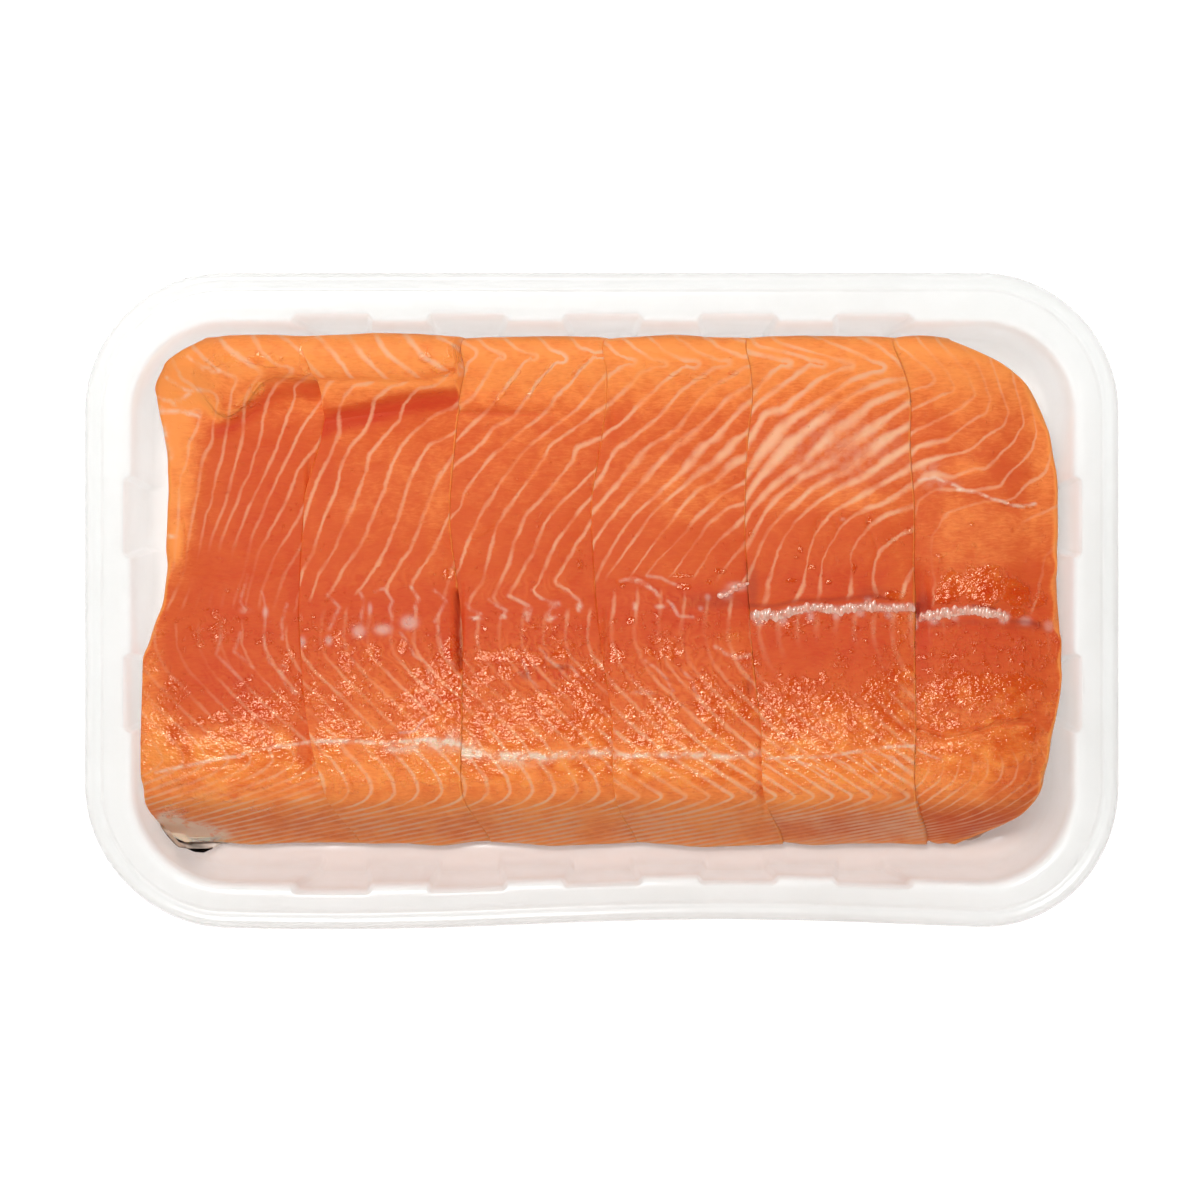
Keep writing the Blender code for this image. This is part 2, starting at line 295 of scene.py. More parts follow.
class LineField:
    """A smooth field whose whole numbers lie on the pale lines given to it."""

    softness = 4.0
    stiffness = 0.08

    def __init__(self, lines: Sequence[Line], spacing: float = 4.0) -> None:
        """Fit the field.

        Args:
            lines: The lines in order, in millimetres; the first has the number zero.
            spacing: Longest distance between the points that the fit uses.
        """
        places: list[Place] = []
        numbers: list[float] = []
        for number, line in enumerate(lines):
            for start, end in zip(line, line[1:]):
                length = math.dist(start, end)
                count = max(1, math.ceil(length / spacing))
                shares = [step / count for step in range(count)]
                run, rise = end[0] - start[0], end[1] - start[1]
                places += [(start[0] + run * share, start[1] + rise * share) for share in shares]
            places.append(line[-1])
            numbers += [number] * (len(places) - len(numbers))
        self.places = np.array(places, float)
        count = len(self.places)
        apart = self.places[:, None, :] - self.places[None, :, :]
        system = np.zeros((count + 3, count + 3))
        reach = np.sqrt((apart**2).sum(2) + self.softness)
        system[:count, :count] = reach - self.stiffness * np.eye(count)
        system[:count, count] = 1.0
        system[:count, count + 1 :] = self.places
        system[count:, :count] = system[:count, count:].T
        wanted = np.concatenate([numbers, np.zeros(3)])
        self.weights = np.linalg.solve(system, wanted)

    def __call__(self, x: Array, y: Array) -> Array:
        """Return the field at places.

        Args:
            x: X in millimetres.
            y: Y in millimetres.

        Returns:
            One number per place.
        """
        count = len(self.places)
        flat_x, flat_y = np.ravel(x), np.ravel(y)
        value = self.weights[count] + self.weights[count + 1] * flat_x
        value = value + self.weights[count + 2] * flat_y
        for (px, py), weight in zip(self.places, self.weights):
            value += weight * np.sqrt((flat_x - px) ** 2 + (flat_y - py) ** 2 + self.softness)
        return value.reshape(np.shape(x))


@dataclass(frozen=True)
class BackLines:
    """The pale lines of the back: one line's course, repeated along X."""

    anchor: float
    pitch: float
    course: Line

    def __call__(self, x: Array, y: Array) -> Array:
        """Return the lines' numbers at places in millimetres."""
        return (x - self.anchor - follow(sorted(self.course), y)) / self.pitch


# ---------------- the tray's shape


@dataclass(frozen=True)
class TrayShape:
    """The tray's sizes, after the CAD model. The section's numbers are in millimetres."""

    length: float = 0.325
    width: float = 0.205
    corner_radius: float = 0.044
    thickness: float = 0.0007
    centre_y: float = 0.0008
    cavity_shift: Place = (0.0003, -0.0010)
    wave_height: float = 0.0016
    wave_length: float = 0.245
    wave_crest_x: float = -0.085
    wave_start_y: float = -0.055
    wave_ramp: float = 0.035
    wall_low: float = 0.004
    wall_rise: float = 0.036
    flute_depth: float = 0.0018
    flute_ramp: float = 0.0022
    flute_half_width: float = 0.0109
    flute_taper: float = 0.0024
    flute_outer_taper: float = 0.0074
    long_flutes: int = 5
    long_pitch: float = 0.0425
    short_flutes: int = 2
    short_pitch: float = 0.0552
    short_shift: float = -0.0012
    corner_steps: int = 22
    knot_steps: int = 5
    cavity_rows: int = 6
    clearance: float = 0.0004
    section: tuple[tuple[float, float, float, float], ...] = (
        (17.5, 0.7, 0, 1),
        (21.4, 1.6, 0, 1),
        (24.7, 4.3, 0.7, 1),
        (26.2, 8.5, 1, 1),
        (29.1, 40, 1, 1),
        (29.7, 42, 1, 1),
        (31, 43.1, 0.5, 0.8),
        (33.4, 43.4, 0, 0.5),
        (37.6, 43.4, 0, 0),
        (38.7, 42.9, 0, 0),
        (40, 43.6, 0, 0),
        (41.6, 44, 0, 0),
        (43.3, 43, 0, 0),
        (44, 39.6, 0, 0),
    )
    section_steps: tuple[int, ...] = (3, 4, 5, 7, 3, 4, 4, 3, 4, 4, 4, 4, 4)

    @property
    def half_x(self) -> float:
        """Return X of the corners' centres."""
        return self.length / 2 - self.corner_radius

    @property
    def half_y(self) -> float:
        """Return Y of the corners' centres."""
        return self.width / 2 - self.corner_radius

    def rows(self) -> Array:
        """Return the fine rows of the section: reach, height, flute and cavity shares."""
        section = np.array(self.section)
        steps = np.hypot(np.diff(section[:, 0]), np.diff(section[:, 1]))
        places = np.concatenate([[0.0], np.cumsum(steps)])
        fine = []
        for index, count in enumerate(self.section_steps):
            start, end = places[index], places[index + 1]
            fine.extend(start + (end - start) * step / count for step in range(count))
        fine.append(places[-1])
        rows = smooth_curve(np.array(fine), places, section)
        rows[:, :2] *= MM
        return rows

    def side_stations(self, count: int, pitch: float, half: float, low: float) -> list[Place]:
        """Return places along one side with their share of the flutes' depth.

        Args:
            count: Flutes on the side.
            pitch: Distance between the flutes' middles.
            half: Half the straight side's length.
            low: One at the wall's foot and zero at the rim.

        Returns:
            Pairs of distance from the side's middle and share.
        """
        outer = self.flute_outer_taper if count > self.short_flutes else self.flute_taper
        knots: list[Place] = [(-half, 0.0)]
        for index in range(count):
            middle = (index - (count - 1) / 2) * pitch
            before = (outer if index == 0 else self.flute_taper) * low
            after = (outer if index == count - 1 else self.flute_taper) * low
            start = middle - self.flute_half_width + before
            end = middle + self.flute_half_width - after
            knots += [(start - self.flute_ramp, 0.0), (start, 1.0)]
            knots += [(end, 1.0), (end + self.flute_ramp, 0.0)]
        knots.append((half, 0.0))
        shares = [step / self.knot_steps for step in range(self.knot_steps)]
        return [
            (place + (next_place - place) * share, depth + (next_depth - depth) * float(ease(share)))
            for (place, depth), (next_place, next_depth) in zip(knots, knots[1:])
            for share in shares
        ]

    def wave(self, x: Array, y: Array) -> Array:
        """Return how far the long front side bows out at places in metres."""
        south = np.clip((self.wave_start_y - y) / self.wave_ramp, 0.0, 1.0)
        turn = 2.0 * math.pi * (x - self.wave_crest_x) / self.wave_length
        return south * self.wave_height * np.cos(turn)

    def ring(self, reach: float, height: float, flute: float, cavity: float) -> Array:
        """Return one closed outline of the tray, anticlockwise from its +X side.

        Args:
            reach: Distance out from the corners' centres.
            height: Height above the ground.
            flute: Share of the flutes' depth.
            cavity: Share of the cavity's own shift.

        Returns:
            One point a row.
        """
        low = 1.0 - min(1.0, max(0.0, (height - self.wall_low) / self.wall_rise))
        sides = (
            self.side_stations(self.short_flutes, self.short_pitch, self.half_y, low),
            self.side_stations(self.long_flutes, self.long_pitch, self.half_x, low),
        )
        points: list[Place] = []
        for quarter in range(4):
            turn = quarter * math.pi / 2
            along = (-math.sin(turn), math.cos(turn))
            out = (math.cos(turn), math.sin(turn))
            side_half = self.half_x if quarter % 2 == 0 else self.half_y
            other_half = self.half_y if quarter % 2 == 0 else self.half_x
            for place, share in sides[quarter % 2]:
                far = side_half + reach + self.flute_depth * flute * share
                x = along[0] * place + out[0] * far
                y = along[1] * place + out[1] * far
                fade = math.sqrt(max(0.0, 1.0 - (place / other_half) ** 2))
                points.append((x, y + abs(out[0]) * self.short_shift * fade))
            centre_x = self.half_x * (1, -1, -1, 1)[quarter]
            centre_y = self.half_y * (1, 1, -1, -1)[quarter]
            for step in range(self.corner_steps):
                angle = turn + step / self.corner_steps * math.pi / 2
                points.append((centre_x + reach * math.cos(angle), centre_y + reach * math.sin(angle)))
        x, y = np.array(points).T
        waviness = 1.0 - low
        moved_x = x + self.cavity_shift[0] * cavity
        moved_y = y + self.cavity_shift[1] * cavity - self.wave(x, y) * waviness
        return np.stack([moved_x, moved_y + self.centre_y, np.full_like(x, height)], 1)

    def place(self, x: Array, y: Array) -> tuple[Array, Array, Array, Array, Array]:
        """Find places in the tray.

        Args:
            x: X of the places.
            y: Y of the places.

        Returns:
            X and Y of the nearest place between the corners' centres, the way out from it
            along X and Y, and the distance.
        """
        local_x = x - self.cavity_shift[0]
        local_y = y - self.cavity_shift[1]
        near_x = np.clip(local_x, -self.half_x, self.half_x)
        near_y = np.clip(local_y, -self.half_y, self.half_y)
        away_x, away_y = local_x - near_x, local_y - near_y
        return near_x, near_y, away_x, away_y, np.hypot(away_x, away_y)

    def floor_height(self, x: Array, y: Array, margin: float, limit: float) -> Array:
        """Return the height of the tray's upper face a margin further out than places."""
        rows = np.array(self.section[: self.cavity_rows])
        reach = np.minimum(limit, self.place(x, y)[4] + margin)
        return np.interp(reach / MM, rows[:, 0], rows[:, 1]) * MM

    def keep_inside(self, x: Array, y: Array, z: Array) -> tuple[Array, Array]:
        """Pull places back from the wall.

        Args:
            x: X of the places.
            y: Y of the places.
            z: Height of the places.

        Returns:
            The places' new X and Y.
        """
        near_x, near_y, away_x, away_y, distance = self.place(x, y)
        rows = np.array(self.section[: self.cavity_rows])
        room = np.interp(z / MM, rows[:, 1], rows[:, 0]) * MM - self.clearance
        share = np.minimum(1.0, room / np.maximum(distance, TINY))
        moved_x = near_x + away_x * share + self.cavity_shift[0]
        moved_y = near_y + away_y * share + self.cavity_shift[1]
        return moved_x, moved_y


# ---------------- the fillet's shape


@dataclass(frozen=True)
class FilletPlan:
    """The fillet's plan and how its portions are cut, after the CAD model."""

    cut_gap: float = 0.00012
    cut_lean: float = 0.42
    reference_height: float = 0.030
    skin_thickness: float = 0.0011
    skin_gap: float = 0.0004
    skin_reach_limit: float = 0.0252
    base_margin: float = 0.0030
    crown: float = 0.0007
    edge_low: float = 0.004
    edge_share: float = 0.30
    face_rise: float = 0.0006
    end_lean: float = -0.12
    end_taper: float = 0.0018
    end_taper_share: float = 0.6
    stations: tuple[float, ...] = (-79, -70, -60, -45, -20, 5, 30, 50, 66, 74, 82)
    outlines: tuple[tuple[float, ...], ...] = (
        (-153, -150.5, -146.2, -150, -148, -143, -143.4, -144.5, -146.8, -142, -130),
        (-88.6, -87.6, -88.0, -91.2, -96.2, -98.6, -98.6, -93.8, -91.0, -91.6, -94.2),
        (-46.8, -45.2, -44.2, -43.8, -45.2, -48.8, -52.2, -51.0, -48.2, -45.2, -46.0),
        (0.2, 2.2, 4.0, 4.2, -0.3, -4.9, -7.0, -4.4, -1.6, -0.2, -0.8),
        (47.4, 49.8, 51.2, 51.0, 47.0, 43.8, 41.8, 42.4, 44.6, 45.6, 44.4),
        (93.6, 96.6, 98.8, 99.6, 98.0, 96.2, 95.4, 93.8, 94.4, 93.6, 90.6),
        (117, 134.5, 140, 142.8, 147, 146.2, 147.4, 145, 138.5, 129, 112),
    )

    @property
    def count(self) -> int:
        """Return the number of portions."""
        return len(self.outlines) - 1

    def side_x(self, number: int, side: Side, y: Array, z: Array) -> Array:
        """Return the X of a portion's side.

        Args:
            number: The portion's number, from zero.
            side: Which side.
            y: Y of the places.
            z: Height of the places, as the cut leans.

        Returns:
            X at each place.
        """
        line = self.outlines[number if side is Side.LEFT else number + 1]
        x = smooth_curve(np.asarray(y) / MM, np.array(self.stations), np.array(line)) * MM
        last = side is Side.RIGHT and number == self.count - 1
        first = side is Side.LEFT and number == 0
        lean = self.end_lean if last else self.cut_lean
        gap = 0.0 if first or last else self.cut_gap / 2
        return x + lean * (self.reference_height - z) - side.value * gap

    def taper(self, number: int, across: Array) -> Array:
        """Return how far the first and last portions fall away at their free ends.

        Args:
            number: The portion's number, from zero.
            across: Share of the way from the portion's left side to its right.

        Returns:
            The fall at each place, in metres.
        """
        if number == 0:
            return self.end_taper * np.maximum(0.0, 1.0 - across / self.end_taper_share) ** 2
        if number == self.count - 1:
            free = np.maximum(0.0, 1.0 - (1.0 - across) / self.end_taper_share)
            return self.end_taper * free**2
        return np.zeros_like(across)

    def base_height(self, tray: TrayShape, x: Array, y: Array) -> Array:
        """Return the height of the flesh's base, above the skin and clear of the tray."""
        under = self.skin_thickness + self.skin_gap
        floor = tray.floor_height(x, y, self.base_margin, self.skin_reach_limit)
        return floor + tray.clearance + under


@dataclass(frozen=True)
class ProfileRow:
    """One row of the top's section, in millimetres, flat and with the belly folded over.

    The lips say how far the row follows the first and the second lip's line, and room is the
    most that its edge may be rounded.
    """

    flat: Place
    base_y: float
    fold: Place | None = None
    first_lip: float = 0.0
    second_lip: float = 0.0
    room: float = 1.3

    def numbers(self) -> tuple[float, ...]:
        """Return flat Y and height, folded Y and height, base Y, lip shares and room."""
        fold = self.fold or self.flat
        return (*self.flat, *fold, self.base_y, self.first_lip, self.second_lip, self.room)


PROFILE = (
    ProfileRow((78, 4.2), 76.4),
    ProfileRow((80.8, 9), 76, (81, 10)),
    ProfileRow((82.3, 16), 75.4, (82.6, 19)),
    ProfileRow((82.8, 22.5), 74.6, (83.2, 27)),
    ProfileRow((81.6, 26.4), 73.8, (82, 31), 0, 0, 1),
    ProfileRow((78.6, 27.8), 72.8, (79.4, 33), 0.05),
    ProfileRow((76.2, 27.4), 72, (76.6, 33.2), 0.25),
    ProfileRow((73.8, 26.4), 71.2, (74, 32.4), 0.6, 0, 0.9),
    ProfileRow((72, 25.3), 70.4, (71.8, 31.1), 0.9, 0, 0.6),
    ProfileRow((71.3, 24.9), 70, (70.9, 30.2), 1, 0, 0.5),
    ProfileRow((71, 24.7), 69.7, (70.3, 29.4), 1, 0, 0.4),
    ProfileRow((70.8, 24.6), 69.5, (69.8, 28.6), 1, 0, 0.35),
    ProfileRow((70.6, 24.5), 69.4, (69.3, 28), 1, 0, 0.35),
    ProfileRow((70.3, 24.3), 69.2, (68.8, 27.4), 0.95, 0.05, 0.4),
    ProfileRow((69.4, 23.8), 68.6, (68, 26.9), 0.5, 0.5, 0.5),
    ProfileRow((68.2, 23.1), 67.8, (67, 26.1), 0.15, 0.85, 0.5),
    ProfileRow((67.2, 22.6), 67, (66.1, 25.1), 0, 1, 0.4),
    ProfileRow((66.6, 22.3), 66.4, (65.4, 24.2), 0, 1, 0.35),
    ProfileRow((66.2, 22.1), 66, (64.8, 23.4), 0, 1, 0.35),
    ProfileRow((65.8, 21.9), 65.7, (64.2, 22.7), 0, 1, 0.35),
    ProfileRow((65.2, 21.7), 65.3, (63.4, 22), 0, 1, 0.4),
    ProfileRow((64, 21.2), 64.2, (62.2, 21.3), 0, 0.95, 0.6),
    ProfileRow((59, 20.2), 59.4, (60, 20.5), 0, 0.75),
    ProfileRow((54, 19.95), 54.3, (54.5, 20.1), 0, 0.35),
    ProfileRow((48, 19.8), 48.3),
    ProfileRow((34, 20.4), 34),
    ProfileRow((19, 21.8), 19),
    ProfileRow((4, 23.6), 4),
    ProfileRow((-10, 25.8), -10),
    ProfileRow((-25, 28.3), -25),
    ProfileRow((-38, 30.4), -38),
    ProfileRow((-49, 31.4), -49),
    ProfileRow((-57, 31), -57),
    ProfileRow((-62.5, 28.8), -62),
    ProfileRow((-67, 23.6), -66.5),
    ProfileRow((-71, 17), -70.5),
    ProfileRow((-75, 9.6), -74),
    ProfileRow((-78.6, 4), -76.6, room=0.4),
)
FLAP_ROWS = 12
BELLY_ROWS = slice(5, 25)
TONE_ACROSS = trace(
    -79, 0.9, -77.5, 0.5, -75, 0.2, -70, 0.2, -65, 0.34, -62, 0.46, -57, 0.55, -50, 0.5, -44, 0.34,
    -35, 0.05, -25, -0.18, -12, -0.38, 0, -0.38, 16, -0.24, 30, -0.06, 46, 0.02, 56, 0.12, 64, 0.4,
    72, 0.68, 83, 0.8,
)


FIRST_LIP_Y = 70.2
SECOND_LIP_Y = 65.6


@dataclass(frozen=True)
class PortionStyle:
    """What one portion looks like. Lists of places are in millimetres.

    folds says along X how far the belly is folded over, and the two lips are the folded edge's
    lines. The marks change the pale lines' width and strength, the tone of the flesh and so on;
    some tone marks and dark red marks are painted shade under the lips, in pits and beside
    cuts, and some tone marks are painted light on shaded slopes and creases.
    """

    name: str
    level: float
    belly_lines: Sequence[Line]
    back_lines: BackLines
    spine: Line
    widths: Marks
    gains: Marks
    base_width: float
    base_gain: float
    round_left: float = 0.00039
    round_right: float = 0.00065
    folds: Line = trace(-200, 0, 200, 0)
    first_lip: Line = trace(-200, FIRST_LIP_Y, 200, FIRST_LIP_Y)
    second_lip: Line = trace(-200, SECOND_LIP_Y, 200, SECOND_LIP_Y)
    flap_lines: Sequence[Line] = ()
    tones: Marks = ()
    wet: Marks = ()
    fat: Marks = ()
    bone: Marks = ()
    blood_and_shade: Marks = ()
    dark: Marks = ()
    relief: Marks = ()
    flakes: Marks = ()

BACK_COURSE_STEEP = trace(
    0, 0, -5, -1, -12, -1.5, -17, 0, -20, 2.5, -24, 6, -31, 13.5, -37.5, 20, -44, 26.5, -47, 28.5,
    -50, 31.5, -53, 34, -56, 36, -60, 37, -62.5, 35.5, -64.5, 32, -66, 27, -67.5, 21, -69, 14, -71, 6,
    -73, -3, -75, -12, -77, -22, -80, -37,
)
BACK_COURSE_SHARP = trace(
    0, 0, -10, -1, -18, 1, -24, 5, -31, 12, -38, 19, -44, 26, -50, 34, -55, 42, -59, 48, -62, 52,
    -64, 48.5, -66, 43, -68, 35, -70, 25.5, -72, 15.5, -75, 1, -78, -14, -80, -24,
)
BACK_COURSE_FIRST = trace(
    0, 0, -12, 0, -20, 3, -28, 10, -36, 18, -42, 25, -46, 29, -50, 31, -54, 27, -58, 18, -62, 7,
    -66, -6, -70, -20, -74, -38, -80, -66,
)
BACK_COURSE_LAST = trace(
    0, 0, -20, 2, -35, 9, -45, 16, -52, 19, -56, 18, -61, 12.5, -66, 5.5, -70, -3.5, -72.5, -13.5,
    -76, -30, -80, -50,
)

PORTION_1 = PortionStyle(
    name="portion_1", level=0, round_left=0.0026, round_right=0.00059, base_width=0.85, base_gain=0.52,
    folds=trace(-145, 0, -129, 0, -124, 0.3, -118, 0.7, -110, 0.95, -90, 1),
    first_lip=trace(-145, 70.2, -137, 70.2, -132, 69.6, -128, 67, -125, 62.6, -122, 59, -119, 58.8,
        -115, 61, -112, 63.5, -109, 67, -106, 69.6, -101, 71.4, -96, 71.2, -90, 70.4),
    second_lip=trace(-145, 65.6, -137, 65.6, -132, 65, -128, 63, -125, 59.6, -122, 57, -119, 57.2,
        -115, 59.6, -112, 62.1, -109, 65.6, -106, 68.2, -101, 70, -96, 69.8, -90, 69),
    belly_lines=traces(
        (-143, 63, -137, 60, -127.5, 60, -129, 55, -131.5, 50, -132, 45, -134, 40, -134.7, 35, -134.7, 28,
            -136, 12),
        (-136, 76, -133.5, 71, -129, 67.8, -123.5, 66.2, -121.8, 64, -123.8, 56, -124, 51, -127, 45,
            -132, 16),
        (-130, 81.5, -125.5, 76.5, -121, 73, -115.5, 70, -117.3, 66, -121, 45, -122.5, 41, -124.3, 31,
            -126, 27, -129, 10),
        (-121.5, 83.5, -117, 79, -107.5, 72, -110.5, 68.5, -113, 64.5, -114, 58, -114.3, 52, -119.8, 31,
            -124, 20, -126, 10),
        (-110, 83.5, -107.5, 79, -104, 75.5, -98, 72.2, -103.5, 68.5, -105.5, 65, -107.5, 59, -108.5, 53,
            -112, 41, -114.5, 36, -116, 31, -118, 27, -121, 19, -123, 8),
        (-101.5, 84, -93.5, 77.5, -90.5, 73, -97, 68.5, -97.5, 65, -105, 45, -112.5, 29, -117, 17,
            -119, 6),
        (-87.8, 68, -89, 64, -95.5, 55, -106.5, 32, -108, 27.5, -111, 21, -114, 8),
        (-89.5, 51, -96.5, 42, -100, 32.5, -109, 15.5, -112, 4), (-97, 25.5, -104, 14, -108, 3),
        (-97.5, 14, -100, 10, -102, 5, -104, -2),
    ),
    back_lines=BackLines(-121, 7, BACK_COURSE_FIRST),
    spine=trace(-150, -6, -120, -4, -96, -6),
    widths=marks((-112, 80, 25, 9, 0.5), (-134, 66, 8, 8, 0.4)),
    gains=marks(
        (-112, 80, 25, 9, 0.3), (-115, 8, 25, 16, -0.42), (-130, -18, 18, 16, -0.3),
        (-128, 12, 14, 14, -0.2), (-96, 55, 6, 12, 0.2), (-110, -46, 30, 10, -0.1),
        (-135, -50, 10, 7, -0.25),
    ),
    tones=marks(
        (-136, 40, 8, 44, 0.8), (-143, -20, 6, 34, 0.5), (-108, 40, 17, 26, -0.4),
        (-118, -28, 16, 12, -0.45), (-117, 5, 14, 20, -0.05), (-130, 68, 12, 14, 0.2),
        (-138, 51, 3.5, 8, 0.5), (-136, 18, 2.5, 6, 0.8), (-125, -64, 16, 5, 0.15),
        # (-94, -45) is painted shade on the side by the cut, and (-140, 74) is painted light on the
        # corner's shaded slope.
        (-94, -45, 4, 14, -0.3), (-142, -50, 6, 14, 0.1), (-97, 8, 4, 18, -0.15), (-140, 74, 8, 14, 0.4),
        # Painted shadow below the folded lip, then painted light along the lip's crease.
        ((-121.5, 54, -119, 55, -115, 57.5, -111, 60.5, -108, 63.5, -105, 65.8, -100, 67.2, -91, 66.4),
            2.2, -0.7),
        ((-130, 68, -125, 62, -122, 58.6, -119, 58.4, -115, 61, -112, 63.5, -109, 67), 2, 0.5),
    ),
    wet=marks(
        (-120, 76, 6, 2.5, 0.8), (-107, 76, 6, 2.5), (-94, 76, 1.8, 6, 1.1), (-109, 67.5, 2.5, 2.5, 0.9),
        (-113, 62.5, 4, 1.5, 0.9), (-118, 59, 3, 1.2, 0.8), (-138, -45, 6, 4.5, 1.1), (-130, -47, 11, 4),
        (-121, -37, 3.5, 1.8), (-127, -38, 2.2, 2, 0.8), (-117, -43, 9, 3.5, 0.9),
        (-140, -52, 5, 2.2, 1.1), (-120, -58, 8, 2.5, 0.8), (-111, -56, 7, 3.5, 0.8),
        (-117, -62, 3.5, 2.2), (-128, -62, 4, 2.5, 0.8), (-96, -54, 4, 4, 0.7), (-107, -44, 6, 3, 0.6),
        (-136, -67, 5, 3, 0.7), (-98.5, -17, 1.6, 2.6, 0.9), (-126, -23, 12, 9, -0.5),
        (-109, -66, 6, 2, 0.35), (-104, -50, 7, 3, 0.5),
    ),
    fat=marks(
        (-137, 20.6, 2, 0.8, 0.6), (-139.5, 52, 1.5, 4, 0.8), (-137.5, 47, 1.2, 2, 0.6),
        (-132, -76, 11, 5, 4), (-138, -73.5, 5, 5.5, 4), (-113, -3, 2, 1.2, 0.3),
        ((-141, -54.2, -130, -51.8, -122, -50, -115, -49, -110, -47.2, -100, -45.6, -91, -44.3), 0.45,
            0.75),
        ((-112.5, 8, -114.8, 0, -113, -3), 0.4, 0.22),
        ((-108, 3, -106.8, -1, -106.8, -7, -107, -14, -105, -20, -100, -20.5), 0.35, 0.25),
        ((-100, -1, -101.5, -7, -101.2, -12), 0.45, 0.3),
        ((-114.5, -10, -116.5, -16, -110.5, -21), 0.45, 0.25),
        ((-120.5, -11, -122, -17, -119, -20, -114, -25), 0.45, 0.22),
        ((-102, -22, -100, -26, -97, -29), 0.6, 0.3), ((-141, 60.2, -134, 60.6, -128.5, 59), 0.55, 0.6),
        ((-141, 65, -136.1, 63, -131.2, 65.9), 0.5, 0.55),
        ((-138.2, 71, -132.5, 67.1, -127, 66.9), 0.5, 0.55),
        ((-131.2, 77.5, -126.4, 73.9, -120.9, 72.6), 0.5, 0.5),
    ),
    bone=marks((-106.7, -3.5, 1, 1.8, 0.8)),
    dark=marks((-130.5, -79.2, 3.2, 1.5, 0.9)),
    relief=marks(
        (-136.5, 19, 2.5, 6, 0.5), (-138, 49, 3, 6, 0.6), (-91.6, -47, 1, 10, -0.9),
        (-93.5, 39, 0.9, 7, -0.8), (-118, -50, 22, 9, 0.3), ((-134.5, 26, -133, 20, -134, 14), 0.5, -0.5),
        ((-141, -56, -128, -53, -112, -51), 0.6, -0.25), ((-141, -60, -128, -57, -112, -55), 0.6, -0.25),
    ),
    flakes=marks((-112, -22, 18, 9, 0.45), (-125, -46, 20, 10, 0.6)),
)
